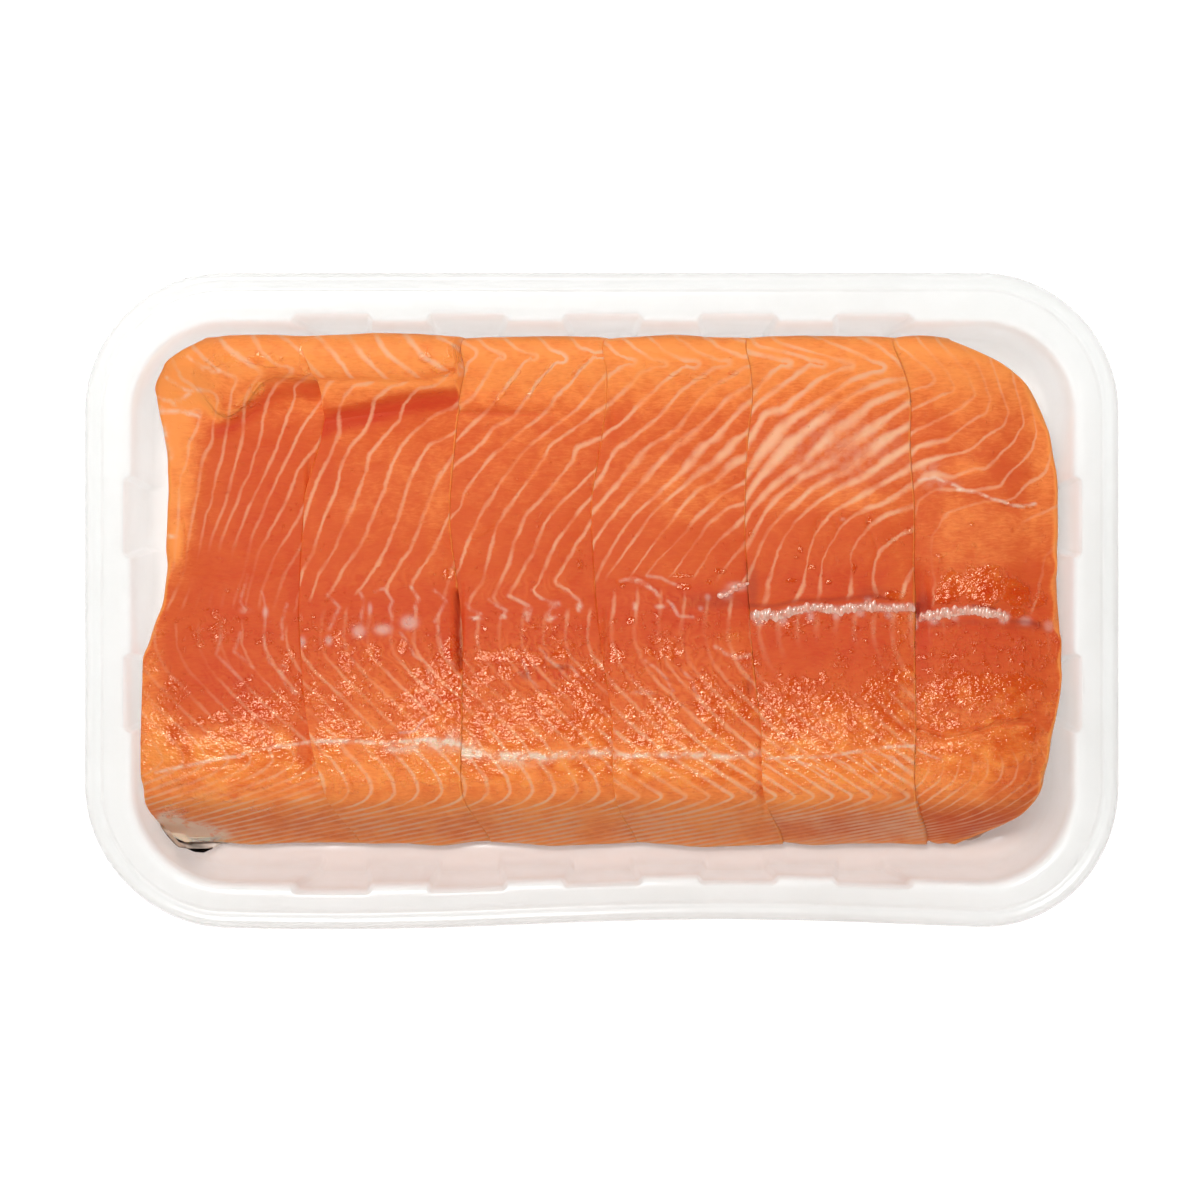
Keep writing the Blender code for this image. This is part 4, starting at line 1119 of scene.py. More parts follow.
PORTION_6 = PortionStyle(
    name="portion_6", level=-0.0005, round_right=0.0032, base_width=0.85, base_gain=0.6,
    belly_lines=traces(
        (95, 80, 104.5, 72.5, 105.7, 69.8, 103, 68.3, 95, 65.5), (101, 82, 110, 72, 112, 67.5, 95, 59),
        (107, 82, 116, 72, 118.5, 65.5, 114, 61.2, 106, 57, 101, 55, 94, 50),
        (114, 81, 118, 77, 121.5, 70, 123.5, 64, 122.5, 60, 118, 57.5, 110, 51.5, 101, 49.3, 94, 43),
        (124, 75, 129.5, 60, 128, 56, 124, 53.5, 117, 48, 103, 44.5, 98.5, 42, 94, 38),
        (131, 70, 133.5, 62, 134.5, 57, 131, 50.5, 122.5, 42.3, 118, 42, 112, 39.5, 106, 40.3, 103, 39.5,
            99.5, 36.5, 96, 32),
        (137, 62, 138.5, 54, 137.5, 49, 134, 44.3, 130, 41, 126.5, 36.5, 119, 35.3, 106, 35.5, 101, 32,
            99, 26),
        (143, 46, 142, 42, 139.5, 39.5, 136, 37.5, 131, 33, 128, 31.8, 124, 32, 119, 31, 110, 28,
            105, 20),
        (146, 31, 134, 25, 131, 20, 130, 12, 128, 3), (147, 20, 141, 14, 139, 3),
    ),
    back_lines=BackLines(89, 4.7, BACK_COURSE_LAST),
    spine=trace(98, -5, 112, -3.6, 124, -3.6, 135, -6, 148, -9),
    widths=marks(
        (103, 46, 9, 9, 0.9), (110, 40, 10, 4, 0.7), (132, 60, 14, 20, -0.25), (120, -50, 34, 30, -0.25),
    ),
    gains=marks(
        (103, 46, 10, 10, 0.35), (112, 74, 20, 8, -0.3), (122, 14, 28, 15, -0.75),
        (122, -24, 30, 23, -0.95), (120, -46, 26, 7, -0.4), (132, 62, 12, 12, -0.1),
        (120, -71, 28, 8, -0.6),
    ),
    tones=marks(
        (141, 45, 7, 34, 0.42), (112, 80, 24, 3.5, 0.2), (115, 42, 8, 4, 0.4), (132, 38, 8, 8, -0.15),
        # (102, -2) is painted shade in the dip beside the cut.
        (143, -5, 4, 34, 0.2), (102, -2, 4, 12, -0.35), (118, -14, 20, 7, -0.1), (122, -33, 22, 6, 0.15),
        (132, -58, 12, 9, -0.35), (116, -72, 22, 8, -0.5), (120, 20, 22, 16, 0.5), (118, 54, 10, 10, 0.2),
        (110, 8, 10, 8, 0.1), (138, -47, 6, 16, -0.15), (101, -17, 4, 12, -0.2),
    ),
    wet=marks(
        (111, 5, 4, 5, 1.2), (108, 1, 3, 3, 0.8), (121, 6, 9, 5.5, 1.2), (123, 2.5, 4.5, 3, 1.3),
        (117.5, 3, 1.8, 4, 0.8), (132, 2, 5, 5, 1.1), (139.5, 0.5, 2.5, 3, 0.8), (122, -1.8, 3, 1.2, 1.3),
        (132, -4, 3, 1.5, 0.9), (108, 14.5, 2.4, 1.2, 0.7), (118, 25, 1, 2, 0.5), (128.5, 31, 2, 1),
        (134, 30, 2.5, 0.7, 0.9), (109, -27, 5, 2.5, 0.9), (115, -26, 4, 3), (122, -25, 4, 2.5, 1.1),
        (130, -25.5, 5, 2.5, 0.9), (136, -26, 3.5, 2), (110, -30, 5, 2, 0.7), (104, -36, 2.5, 2.5, 0.8),
        (102, -31, 2, 2, 0.6), (104, -46.5, 3, 1.6, 1.2), (117, -47, 5, 3, 1.1), (127, -44, 5, 4, 1.1),
        (134, -42, 4, 3, 0.8), (127, -50, 6, 2.5), (112, -52, 6, 3, 0.8), (103, -53, 3, 3, 0.8),
        (120, -55, 8, 2.5, 0.6), (118, -29, 20, 3, 0.3),
        ((112, -42.5, 118, -40, 125, -36.6, 132, -36.2), 0.7, 0.9),
    ),
    fat=marks(
        (104, 42, 5, 3, 0.2), (108, 37, 6, 2.4, 0.2),
        ((113, 35.4, 119, 34.8, 124, 32.6, 128, 31.6, 130, 30.6, 134, 30.1, 138, 31), 0.4, 0.8),
        ((101, 38.5, 106, 39.4, 112, 37, 115, 35.4), 0.5, 0.6),
        ((100, -47, 104, -49, 108, -50.5), 0.3, 0.5),
    ),
    bone=marks(
        (105.4, -6.4, 1.8, 1.4, 0.8), (112, -5.4, 1.4, 1.2, 0.6), (127.5, -6.2, 1.6, 1.2, 0.9),
        (134.5, -6.4, 2.2, 1.6, 0.9), (142, -8, 1.8, 2, 0.6), ((98.6, -2.5, 99.4, -8), 1, 0.8, 0.6),
        ((101, -5.2, 105, -4.4, 112, -3.4, 118, -2.8, 124, -3.8, 128.5, -4.8), 1.2, 0.7, 0.6),
    ),
    # The first two marks are painted shade in the dip beside the cut; the rest follow the backbone's vein.
    blood_and_shade=marks(
        (102.5, -1, 3, 4, 0.6), ((100.5, -1, 100.4, -5.4), 0.6, 1.1),
        ((118, -1.6, 123, -2, 124.5, -2.4), 0.5, 0.8), ((130, -6.4, 136, -6.8, 139, -7.4), 0.7, 0.7),
        ((103, -8, 118, -6.6, 130, -8.2, 140, -8.6), 0.8, 0.3),
    ),
    relief=marks(
        (122, -47, 18, 6, 0.35), (120, 22, 26, 13, -0.25), (101, 0, 3.4, 11, -1.6), (122, -7, 20, 2, 0.2),
        (99.5, -66, 1.8, 8, -0.8),
        ((99.5, -40.6, 104, -42.2, 108, -43.6, 113, -42.8, 120, -40.6, 127, -38.6, 136, -38), 0.8, -1.1),
        ((99.5, -38, 108, -40.5, 120, -37.6, 130, -35.6), 2.6, 0.6),
        ((101, -2.4, 112, -1, 124, -1.4, 136, -4), 1.3, -0.4),
        ((113, 34.2, 119, 33.6, 124, 31.4, 130, 29.6, 138, 30), 0.7, -0.4),
    ),
    flakes=marks((120, -48, 24, 10, 0.5)),
)
STYLES = (PORTION_1, PORTION_2, PORTION_3, PORTION_4, PORTION_5, PORTION_6)


# ---------------- meshes


def grid_faces(rings: int, places: int) -> list[tuple[int, ...]]:
    """Return the faces of a closed tube of rings, with both ends capped.

    Args:
        rings: Number of rings.
        places: Number of points in each ring.

    Returns:
        The faces, outward for rings that run clockwise seen along the tube.
    """
    ring, place = np.meshgrid(np.arange(rings - 1), np.arange(places), indexing="ij")
    after = (place + 1) % places
    corners = (
        ring * places + place,
        (ring + 1) * places + place,
        (ring + 1) * places + after,
        ring * places + after,
    )
    faces = [tuple(row) for row in np.stack([np.ravel(c) for c in corners], 1).tolist()]
    faces.append(tuple(range(places)))
    faces.append(tuple(range(rings * places - 1, (rings - 1) * places - 1, -1)))
    return faces


def new_object(
    name: str,
    points: Array,
    faces: Sequence[tuple[int, ...]],
    edges: Sequence[tuple[int, int]] = (),
) -> Item:
    """Add a smooth-shaded mesh object to the scene.

    Args:
        name: The object's name.
        points: One point a row, in metres.
        faces: The faces' corners.
        edges: Edges besides those of the faces.

    Returns:
        The new object, at the origin.
    """
    mesh = bpy.data.meshes.new(name)
    mesh.from_pydata(points.tolist(), edges, faces)
    mesh.update()
    mesh.shade_smooth()
    item = bpy.data.objects.new(name, mesh)
    bpy.context.scene.collection.objects.link(item)
    return item


def add_attribute(item: Item, name: str, values: Array) -> None:
    """Give an object's points a named number each."""
    attribute = item.data.attributes.new(name, "FLOAT", "POINT")
    attribute.data.foreach_set("value", np.ravel(values).astype(np.float32))


@dataclass
class Muscle:
    """The flesh of one portion: a closed tube of sections along Y with its marks.

    Reliefs, bands and other places along Y are in millimetres, and bumps in metres.
    """

    number: int
    style: PortionStyle
    tray: TrayShape
    plan: FilletPlan
    row_count: int = 430
    column_count: int = 90
    edge_steps: int = 6
    wall_steps: int = 9
    base_steps: int = 10
    edge_bump: float = 0.006
    block_relief: float = 0.07
    soft_relief: float = 0.30
    soft_bump: float = 0.013
    knobbly_share: float = 0.4
    knobbly_bump: float = 0.005
    fine_relief: float = 0.07
    fine_bump: float = 0.0016
    wet_relief: float = 0.12
    wet_bump: float = 0.0021
    relief_start: float = 8.0
    relief_fade: float = 8.0
    ridge_relief: float = 0.20
    ridges_a_line: float = 2.0
    ridge_bend: float = 0.8
    ridge_rise: float = 0.75
    ridge_fall: float = 0.22
    block_fade: float = 3.5
    block_start: float = 14.0
    block_rise: float = 6.0
    foot_start: float = -62.0
    foot_fade: float = 14.0
    foot_bump: float = 0.012
    foot_unevenness: float = 0.9
    side_start: float = -60.0
    side_fade: float = 5.0
    side_narrowing: float = 0.4
    side_gain: float = 0.7
    side_tone: float = 0.2
    flap_start: float = 60.0
    crest: Band = Band(-63, 8, -18, 11)
    crest_dampness: float = 0.90
    torn: Band = Band(-26, 8, -1, 5)
    torn_dampness: float = 0.40
    least_dampness: float = 0.05
    faint: Band = Band(-46, 8, -2, 6)
    faintness: float = 0.35
    wet_bump_shading: float = 0.30
    wettest: float = 1.3
    crease_painted_shade: float = 0.2
    crease_room: float = 0.5
    cut_edge_painted_light: float = 0.9
    gap_drop: float = 0.4
    line_widths: Place = (0.35, 3.4)
    slopes: Place = (0.045, 2.0)
    slope_step: float = 0.4
    fattest: float = 4.0
    noise: Noise = field(init=False)
    fine_noise: Noise = field(init=False)

    def __post_init__(self) -> None:
        """Give this portion its own unevenness."""
        self.noise = Noise(seed=20 + self.number)
        self.fine_noise = Noise(seed=40 + self.number)

    def profile(self) -> tuple[Array, Array]:
        """Return the fine rows of the profile.

        Returns:
            The rows' places along the profile, counted in rows of PROFILE, and the rows'
            numbers, as ProfileRow gives them.
        """
        table = np.array([row.numbers() for row in PROFILE])
        steps = np.hypot(np.diff(table[:, 2]), np.diff(table[:, 3]))
        places = np.concatenate([[0.0], np.cumsum(steps)])
        fine = np.linspace(0.0, places[-1], self.row_count)
        rows = smooth_curve(fine, places, table)
        return np.interp(fine, places, np.arange(len(PROFILE))), rows

    def columns(self) -> tuple[Array, Array, Array]:
        """Return the places across the top.

        Returns:
            Each column's share of the width, its run in from the side and its drop.
        """
        turn = np.linspace(0.0, math.pi / 2, self.edge_steps + 1)[:-1]
        run, drop = 1.0 - np.cos(turn), 1.0 - np.sin(turn)
        left, right = self.style.round_left, self.style.round_right
        inner = np.linspace(0.0, 1.0, self.column_count)
        share = np.concatenate([np.zeros(self.edge_steps), inner, np.ones(self.edge_steps)])
        inner_run = left * (1.0 - inner) - right * inner
        runs = np.concatenate([left * run, inner_run, -right * run[::-1]])
        drops = np.concatenate([left * drop, np.zeros(self.column_count), right * drop[::-1]])
        return share, runs, drops

    def folded(self, x: Array) -> Array:
        """Return how far the belly is folded over at X in millimetres."""
        return np.interp(x, *np.array(self.style.folds, float).T)

    def across(self, share: Array, run: Array, y: Array, z: Array) -> Array:
        """Return X of places across the portion."""
        left = self.plan.side_x(self.number, Side.LEFT, y, z)
        right = self.plan.side_x(self.number, Side.RIGHT, y, z)
        return left + (right - left) * share + run

    def lip_shift(self, rows: Array, x: Array) -> Array:
        """Return how far the rows move along Y so that the lips follow their lines.

        Args:
            rows: The profile's rows.
            x: X of the places, in millimetres.

        Returns:
            The move of each row at each place, in millimetres.
        """
        first_move = follow(self.style.first_lip, x) - FIRST_LIP_Y
        second_move = follow(self.style.second_lip, x) - SECOND_LIP_Y
        return rows[:, 5, None] * first_move + rows[:, 6, None] * second_move

    def carried(self, y: Array, shift: Array) -> Array:
        """Return how far moved rows rise or sink to stay on the flat belly.

        Args:
            y: The rows' own Y.
            shift: Their move along Y.

        Returns:
            The change of height, in millimetres as the others are.
        """
        belly = np.array([row.flat for row in PROFILE[BELLY_ROWS]])[::-1]
        moved = np.interp(y + shift, belly[:, 0], belly[:, 1])
        return np.where(shift == 0.0, 0.0, moved - np.interp(y, belly[:, 0], belly[:, 1]))

    def top(self, rows: Array) -> tuple[Array, Array, Array, Array]:
        """Return the top of the flesh.

        Args:
            rows: The profile's rows.

        Returns:
            X, Y, height and base Y in metres, as grids of rows and columns.
        """
        share, run, drop = self.columns()
        flat_y, flat_z, fold_y, fold_z, base = (rows[:, index, None] for index in range(5))
        uneven = 0.75 + 0.6 * self.fine_noise(flat_y * MM, 0.0 * flat_y, self.edge_bump)
        run, drop = run * uneven, drop * uneven
        rough_x = self.across(share, run, flat_y * MM, flat_z * MM)
        fold = self.folded(rough_x / MM)
        shift = self.lip_shift(rows, rough_x / MM)
        y = (flat_y + (fold_y - flat_y) * fold + shift) * MM
        z = (flat_z + (fold_z - flat_z) * fold + self.carried(flat_y, shift)) * MM
        base_y = (base + shift + 0.0 * share) * MM
        rise, forward = np.gradient(z, axis=0), np.gradient(y, axis=0)
        length = np.maximum(np.hypot(rise, forward), TINY)
        out_y, out_z = rise / length, -forward / length
        rise = self.style.level - self.plan.taper(self.number, share)
        z = z + rise * np.minimum(1.0, z / self.plan.reference_height)
        edge_room = self.plan.edge_share * np.maximum(0.0, z - self.plan.edge_low)
        open_room = PROFILE[0].room
        lip_room = open_room - (open_room - rows[:, 7, None]) * fold
        lip_room = np.where(flat_y > 0.0, lip_room, rows[:, 7, None])
        room = np.minimum(lip_room * MM * 2.0, edge_room)
        swell = self.plan.crown * (1.0 - (2.0 * share - 1.0) ** 2) - np.minimum(drop, room)
        swell = swell + self.relief(rough_x, y, z)
        y, z = y + swell * out_y, z + swell * out_z
        foot = ease((self.foot_start - flat_y) / self.foot_fade)
        foot = foot * self.noise(rough_x, 0.0 * rough_x, self.foot_bump)
        y = y - self.foot_unevenness * MM * foot
        x = self.across(share, run, y, z)
        lowest = self.plan.base_height(self.tray, x, base_y) + self.plan.face_rise
        return x, y, np.maximum(z, lowest), base_y

    def relief(self, x: Array, y: Array, z: Array) -> Array:
        """Return how far the top stands out from its smooth form.

        Args:
            x: X of the places.
            y: Y of the places.
            z: Height of the places.

        Returns:
            The relief at each place, in metres.
        """
        place_x, place_y = x / MM, (y + self.tray.centre_y) / MM
        amount = total(self.style.relief, place_x, place_y)
        amount += self.soft_relief * self.noise(x, y, self.soft_bump)
        amount += self.knobbly_share * self.soft_relief * self.fine_noise(x, y, self.knobbly_bump)
        amount += self.fine_relief * self.fine_noise(x, y, self.fine_bump, 2.5)
        wet = np.clip(total(self.style.wet, place_x, place_y), 0.0, 1.0)
        wet = np.maximum(wet, self.dampness(place_x, place_y))
        amount += self.wet_relief * wet * self.noise(x, y, self.wet_bump)
        return amount * MM * np.clip((z / MM - self.relief_start) / self.relief_fade, 0.0, 1.0)

    def points(self) -> tuple[Array, Array]:
        """Return the tube's points.

        Returns:
            The rings' points in metres, and the rows' places along the profile.
        """
        order, rows = self.profile()
        x, y, z, base_y = self.top(rows)
        walls = []
        for side, column in ((Side.LEFT, 0), (Side.RIGHT, -1)):
            edge_y, edge_z = y[:, column, None], z[:, column, None]
            foot_y = base_y[:, column, None]
            foot_x = self.plan.side_x(self.number, side, foot_y, 0.0 * foot_y)
            foot_z = self.plan.base_height(self.tray, foot_x, foot_y)
            share = np.arange(1, self.wall_steps + 1) / self.wall_steps
            wall_y = edge_y + (foot_y - edge_y) * share
            wall_z = edge_z + (foot_z - edge_z) * share
            wall_x = self.plan.side_x(self.number, side, wall_y, wall_z)
            walls.append(np.stack([wall_x, wall_y, wall_z], -1))
        share = (np.arange(1, self.base_steps) / self.base_steps)[None, :, None]
        base = walls[0][:, -1:, :] * (1.0 - share) + walls[1][:, -1:, :] * share
        base[..., 2] = self.plan.base_height(self.tray, base[..., 0], base[..., 1])
        top = np.stack([x, y, z], -1)
        rings = np.concatenate([top, walls[1], base[:, ::-1], walls[0][:, ::-1]], 1)
        inside_x, inside_y = self.tray.keep_inside(*np.moveaxis(rings, -1, 0))
        rings[..., 0], rings[..., 1] = inside_x, inside_y + self.tray.centre_y
        return rings, order

    def phase(self, x: Array, y: Array, order: Array) -> tuple[Array, Array, Array]:
        """Return the pale lines' numbers, how fast they change and where they show.

        Args:
            x: X in millimetres.
            y: Y in millimetres.
            order: Each row's place along the profile.

        Returns:
            The numbers, their slope per millimetre and a share between zero and one.
        """
        above = y - follow(self.style.spine, x)
        values, slopes = self.sloped(LineField(self.style.belly_lines), x, y)
        back_values, back_slopes = self.sloped(self.style.back_lines, x, y)
        back = above < 0.0
        values = np.where(back, back_values, values)
        slopes = np.where(back, back_slopes, slopes)
        shown = ease((np.abs(above) - 1.0) / self.block_fade)
        if self.style.flap_lines:
            flap_values, flap_slopes = self.sloped(LineField(self.style.flap_lines), x, y)
            on_flap = (order < FLAP_ROWS - 0.5)[:, None] & (y > self.flap_start)
            values = np.where(on_flap, flap_values, values)
            slopes = np.where(on_flap, flap_slopes, slopes)
            hidden = 1.0 - ease(np.abs(order - FLAP_ROWS + 0.5) - 0.4)[:, None]
            shown = shown * (1.0 - hidden)
        return values, slopes, shown

    def dampness(self, x: Array, y: Array) -> Array:
        """Return how damp the whole surface is, wettest over the back's crest.

        Args:
            x: X in millimetres.
            y: Y in millimetres.

        Returns:
            The share of wet surface.
        """
        patchy = 0.5 + 0.5 * self.noise(x * MM, y * MM, 0.007)
        crest = self.crest_dampness * self.crest(y) * patchy
        return self.least_dampness + crest + self.torn_dampness * self.torn(y) * patchy

    def ridges(self, values: Array, x: Array, y: Array) -> Array:
        """Return the torn edges between the pale lines.

        Args:
            values: The pale lines' numbers.
            x: X in millimetres.
            y: Y in millimetres.

        Returns:
            The edges' height, from zero to one.
        """
        bend = self.noise(x * MM, y * MM, 0.0045)
        bend = bend + self.ridge_bend * self.fine_noise(x * MM, y * MM, 0.0022)
        share = (self.ridges_a_line * values + self.ridge_bend * bend) % 1.0
        return ease(share / self.ridge_rise) * ease((1.0 - share) / self.ridge_fall)

    def sloped(
        self, lines: Callable[[Array, Array], Array], x: Array, y: Array
    ) -> tuple[Array, Array]:
        """Read a line field with its slopes.

        Args:
            lines: The field.
            x: X in millimetres.
            y: Y in millimetres.

        Returns:
            The field's values and their slopes per millimetre.
        """
        step = self.slope_step
        here = lines(x, y)
        slope = np.hypot(lines(x + step, y) - here, lines(x, y + step) - here) / step
        return here, np.clip(slope, *self.slopes)

    def tone(self, x: Array, y: Array, order: Array, wet: Array, side: Array) -> Array:
        """Return how light the flesh is, from dark red below zero to pale orange at one, with painted shade
        in the fold's crease, painted light on the cut edges and painted light and shade for the wet bumps.

        Args:
            x: X in millimetres.
            y: Y in millimetres.
            order: Each row's place along the profile.
            wet: How wet each point is.
            side: Share of the steep side towards the back.

        Returns:
            One tone per point.
        """
        tone = follow(TONE_ACROSS, y) + total(self.style.tones, x, y)
        tone += self.side_tone * side
        # Painted light and shade at random in wet places, standing in for the wet bumps' shading.
        tone += self.wet_bump_shading * wet * self.fine_noise(x * MM, y * MM, 0.0024, 1.6)
        room = np.interp(order, np.arange(len(PROFILE)), [row.room for row in PROFILE])
        # Painted shade in the crease under the folded belly.
        crease = ease((self.crease_room - room) / 0.25) * (order < BELLY_ROWS.stop)
        tone -= self.crease_painted_shade * crease[:, None] * self.folded(x)
        # Painted light on the rounded edges at the cuts, and on the sides and base below them, which lie in
        # shade.
        drops = self.columns()[2]
        edge = np.ones(x.shape[1])
        edge[: len(drops)] = np.minimum(1.0, drops / (self.gap_drop * MM))
        return tone + self.cut_edge_painted_light * edge

    def build(self) -> Item:
        """Build the portion's flesh with its marks as named numbers on its points.

        Returns:
            The flesh.
        """
        rings, order = self.points()
        x, y = rings[..., 0] / MM, rings[..., 1] / MM
        style = self.style
        values, slopes, shown = self.phase(x, y, order)
        side = ease((self.side_start - y) / self.side_fade)
        width = np.clip(style.base_width + total(style.widths, x, y), *self.line_widths)
        width = width * (1.0 - self.side_narrowing * side)
        gain = np.clip(style.base_gain + total(style.gains, x, y), 0.0, 1.0) * shown
        gain *= 1.0 - self.faintness * self.faint(y)
        gain = np.clip(gain + self.side_gain * side, 0.0, 1.0)
        wet = np.clip(total(style.wet, x, y) + self.dampness(x, y), 0.0, self.wettest)
        tone = self.tone(x, y, order, wet, side)
        height = rings[..., 2]
        block = -self.block_relief * MM * np.cos(2.0 * math.pi * values) * gain
        upright = np.clip((height / MM - self.block_start) / self.block_rise, 0.0, 1.0)
        torn = np.clip(total(style.flakes, x, y), 0.0, 1.0) * shown * upright
        ridge = torn * self.ridges(values, x, y)
        lift = block * (y > self.side_start) + (ridge - 0.5 * torn) * self.ridge_relief * MM
        rings[..., 2] = height + lift * upright
        item = new_object(f"{style.name}_muscle", rings.reshape(-1, 3), grid_faces(*x.shape))
        numbers = {
            "line_phase": values,
            "line_band": 0.5 * width * slopes,
            "line_gain": gain,
            "tone": tone,
            "wet": wet,
            "fat": np.clip(total(style.fat, x, y), 0.0, self.fattest),
            "ridge": ridge,
        }
        for name, given in (("bone", style.bone), ("blood_and_shade", style.blood_and_shade), ("dark", style.dark)):
            numbers[name] = np.clip(total(given, x, y), 0.0, 1.0)
        for name, amounts in numbers.items():
            add_attribute(item, name, amounts)
        item.data.materials.append(FLESH.material())
        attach(item, BODY)
        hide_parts(f"{style.name}_flesh")
        return item


@dataclass(frozen=True)
class SkinShow:
    """A stretch where the skin reaches past the flesh, in millimetres."""

    side: Side
    middle_y: float
    half_length: float
    reach: float


@dataclass
class SkinSheet:
    """The skin below one portion: a thin sheet on the tray's floor."""

    number: int
    name: str
    tray: TrayShape
    plan: FilletPlan
    shows: Sequence[SkinShow] = ()
    hems: Sequence[Patch] = ()
    dark: Sequence[Patch | Stroke] = ()
    climb: float = 0.0
    row_count: int = 130
    column_count: int = 36
    ragged: float = 0.0012
    hem_start: float = 68.0
    hem_length: float = 8.0

    def side(self, side: Side, y: Array) -> Array:
        """Return X of one of the sheet's sides.

        Args:
            side: Which side.
            y: Y of the places.

        Returns:
            X at each place, in metres.
        """
        reach = np.zeros_like(y)
        for show in self.shows:
            if show.side is side:
                near = 1.0 - np.abs(y / MM - show.middle_y) / show.half_length
                reach += show.reach * MM * np.maximum(0.0, near)
        rough = Noise(seed=70 + self.number)
        edge = rough(y, 0.3 * y, 0.0032) + 0.5 * rough(y, 0.3 * y, 0.0011)
        torn = np.minimum(1.0, reach / (2.0 * MM)) * self.ragged * edge
        return self.plan.side_x(self.number, side, y, 0.0 * y) + side.value * (reach + torn)

    def build(self) -> Item:
        """Build the sheet.

        Returns:
            The sheet.
        """
        first, last = PROFILE[0].base_y * MM, PROFILE[-1].base_y * MM
        y = np.linspace(first, last, self.row_count)[:, None]
        left, right = self.side(Side.LEFT, y), self.side(Side.RIGHT, y)
        turn = np.linspace(0.0, math.pi, self.column_count)
        x = left + (right - left) * (0.5 - 0.5 * np.cos(turn))
        front = ease((-y / MM - self.hem_start) / self.hem_length)
        rough = Noise(seed=80 + self.number)
        torn = 1.0 + 0.35 * rough(x, 0.0 * x, 0.003) + 0.2 * rough(x, 0.0 * x, 0.0011)
        y = y - total(self.hems, x / MM, y / MM + 0.0 * x) * MM * front * torn
        limit = self.plan.skin_reach_limit + self.climb
        low = self.tray.floor_height(x, y, 0.0, limit) + self.tray.clearance
        layers = []
        for height in (low + self.plan.skin_thickness, low):
            inside_x, inside_y = self.tray.keep_inside(x, y, height)
            layers.append(np.stack([inside_x, inside_y + self.tray.centre_y, height], -1))
        rings = np.concatenate([layers[0], layers[1][:, ::-1]], 1)
        faces = grid_faces(*rings.shape[:2])
        item = new_object(f"{self.name}_skin_sheet", rings.reshape(-1, 3), faces)
        add_attribute(item, "dark", total(self.dark, rings[..., 0] / MM, rings[..., 1] / MM))
        item.data.materials.append(SKIN.material())
        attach(item, BODY)
        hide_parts(f"{self.name}_skin")
        return item


@dataclass(frozen=True)
class TissueStrip:
    """Torn pale tissue in short tufts side by side, along the line of the backbone."""

    course: Line
    seed: int
    tuft_length: float = 0.0040
    tuft_width: float = 0.0019
    tuft_height: float = 0.0011
    spacing: float = 0.0009
    scatter: float = 0.00035
    swing: float = 0.35
    drop_height: float = 0.060

    def path(self, flesh: Item) -> Array:
        """Return the strip's points on the top of the flesh, about a millimetre apart.

        Args:
            flesh: The portion's flesh.

        Returns:
            One point a row, in metres.
        """
        course = np.array(self.course, float)
        lengths = np.hypot(*np.diff(course, axis=0).T)
        places = np.concatenate([[0.0], np.cumsum(lengths)])
        fine = np.linspace(0.0, places[-1], max(2, round(places[-1])))
        points = smooth_curve(fine, places, course) * MM
        corners = [tuple(face.vertices) for face in flesh.data.polygons]
        surface = BVHTree.FromPolygons([v.co for v in flesh.data.vertices], corners)
        down = Vector((0.0, 0.0, -1.0))
        rows = []
        for x, y in points:
            hit = surface.ray_cast(Vector((x, y, self.drop_height)), down)[0]
            rows.append((x, y, hit.z))
        return np.array(rows)

    def build(self, flesh: Item, portion: str) -> Item:
        """Lay the strip on a portion's flesh.

        Args:
            flesh: The portion's flesh.
            portion: The portion's name.

        Returns:
            The strip, as a plain mesh.
        """
        points = self.path(flesh)
        edges = [(index, index + 1) for index in range(len(points) - 1)]
        item = new_object(f"{portion}_spine_tissue", points, (), edges)
        tree = tufts_along_line()
        modifier = item.modifiers.new("tufts", "NODES")
        modifier.node_group = tree
        values = {
            "Spacing": self.spacing, "Length": self.tuft_length, "Width": self.tuft_width,
            "Height": self.tuft_height, "Scatter": self.scatter, "Swing": self.swing,
            "Seed": self.seed, "Finish": TISSUE.material(),
        }
        for socket in tree.interface.items_tree:
            if socket.in_out == "INPUT" and socket.name in values:
                modifier[socket.identifier] = values[socket.name]
        seen = item.evaluated_get(bpy.context.evaluated_depsgraph_get())
        mesh = bpy.data.meshes.new_from_object(seen)
        item.modifiers.clear()
        item.data = mesh
        mesh.shade_smooth()
        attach(item, BODY)
        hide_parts(f"{portion}_flesh")
        return item


@dataclass
class Tray:
    """The thin plastic tray with its fluted walls and its double rim."""

    shape: TrayShape

    def build(self) -> Item:
        """Build the tray's upper face and give it its thickness.

        Returns:
            The tray.
        """
        rows = self.shape.rows()
        rings = np.stack([self.shape.ring(*row) for row in rows])
        count, places = rings.shape[:2]
        faces = grid_faces(count, places)[:-2]
        faces.append(tuple(range(places)))
        item = new_object("tray_shell", rings.reshape(-1, 3), faces)
        shell = item.modifiers.new("thickness", "SOLIDIFY")
        shell.thickness = self.shape.thickness
        shell.offset = -1.0
        item.data.materials.append(PLASTIC.material())
        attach(item, BODY)
        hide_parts("tray")
        return item


# ---------------- nodes

MIX_FACTOR = 0
MIX_A = 6
MIX_B = 7
MIX_RESULT = 2
RANDOM_SEED = 8


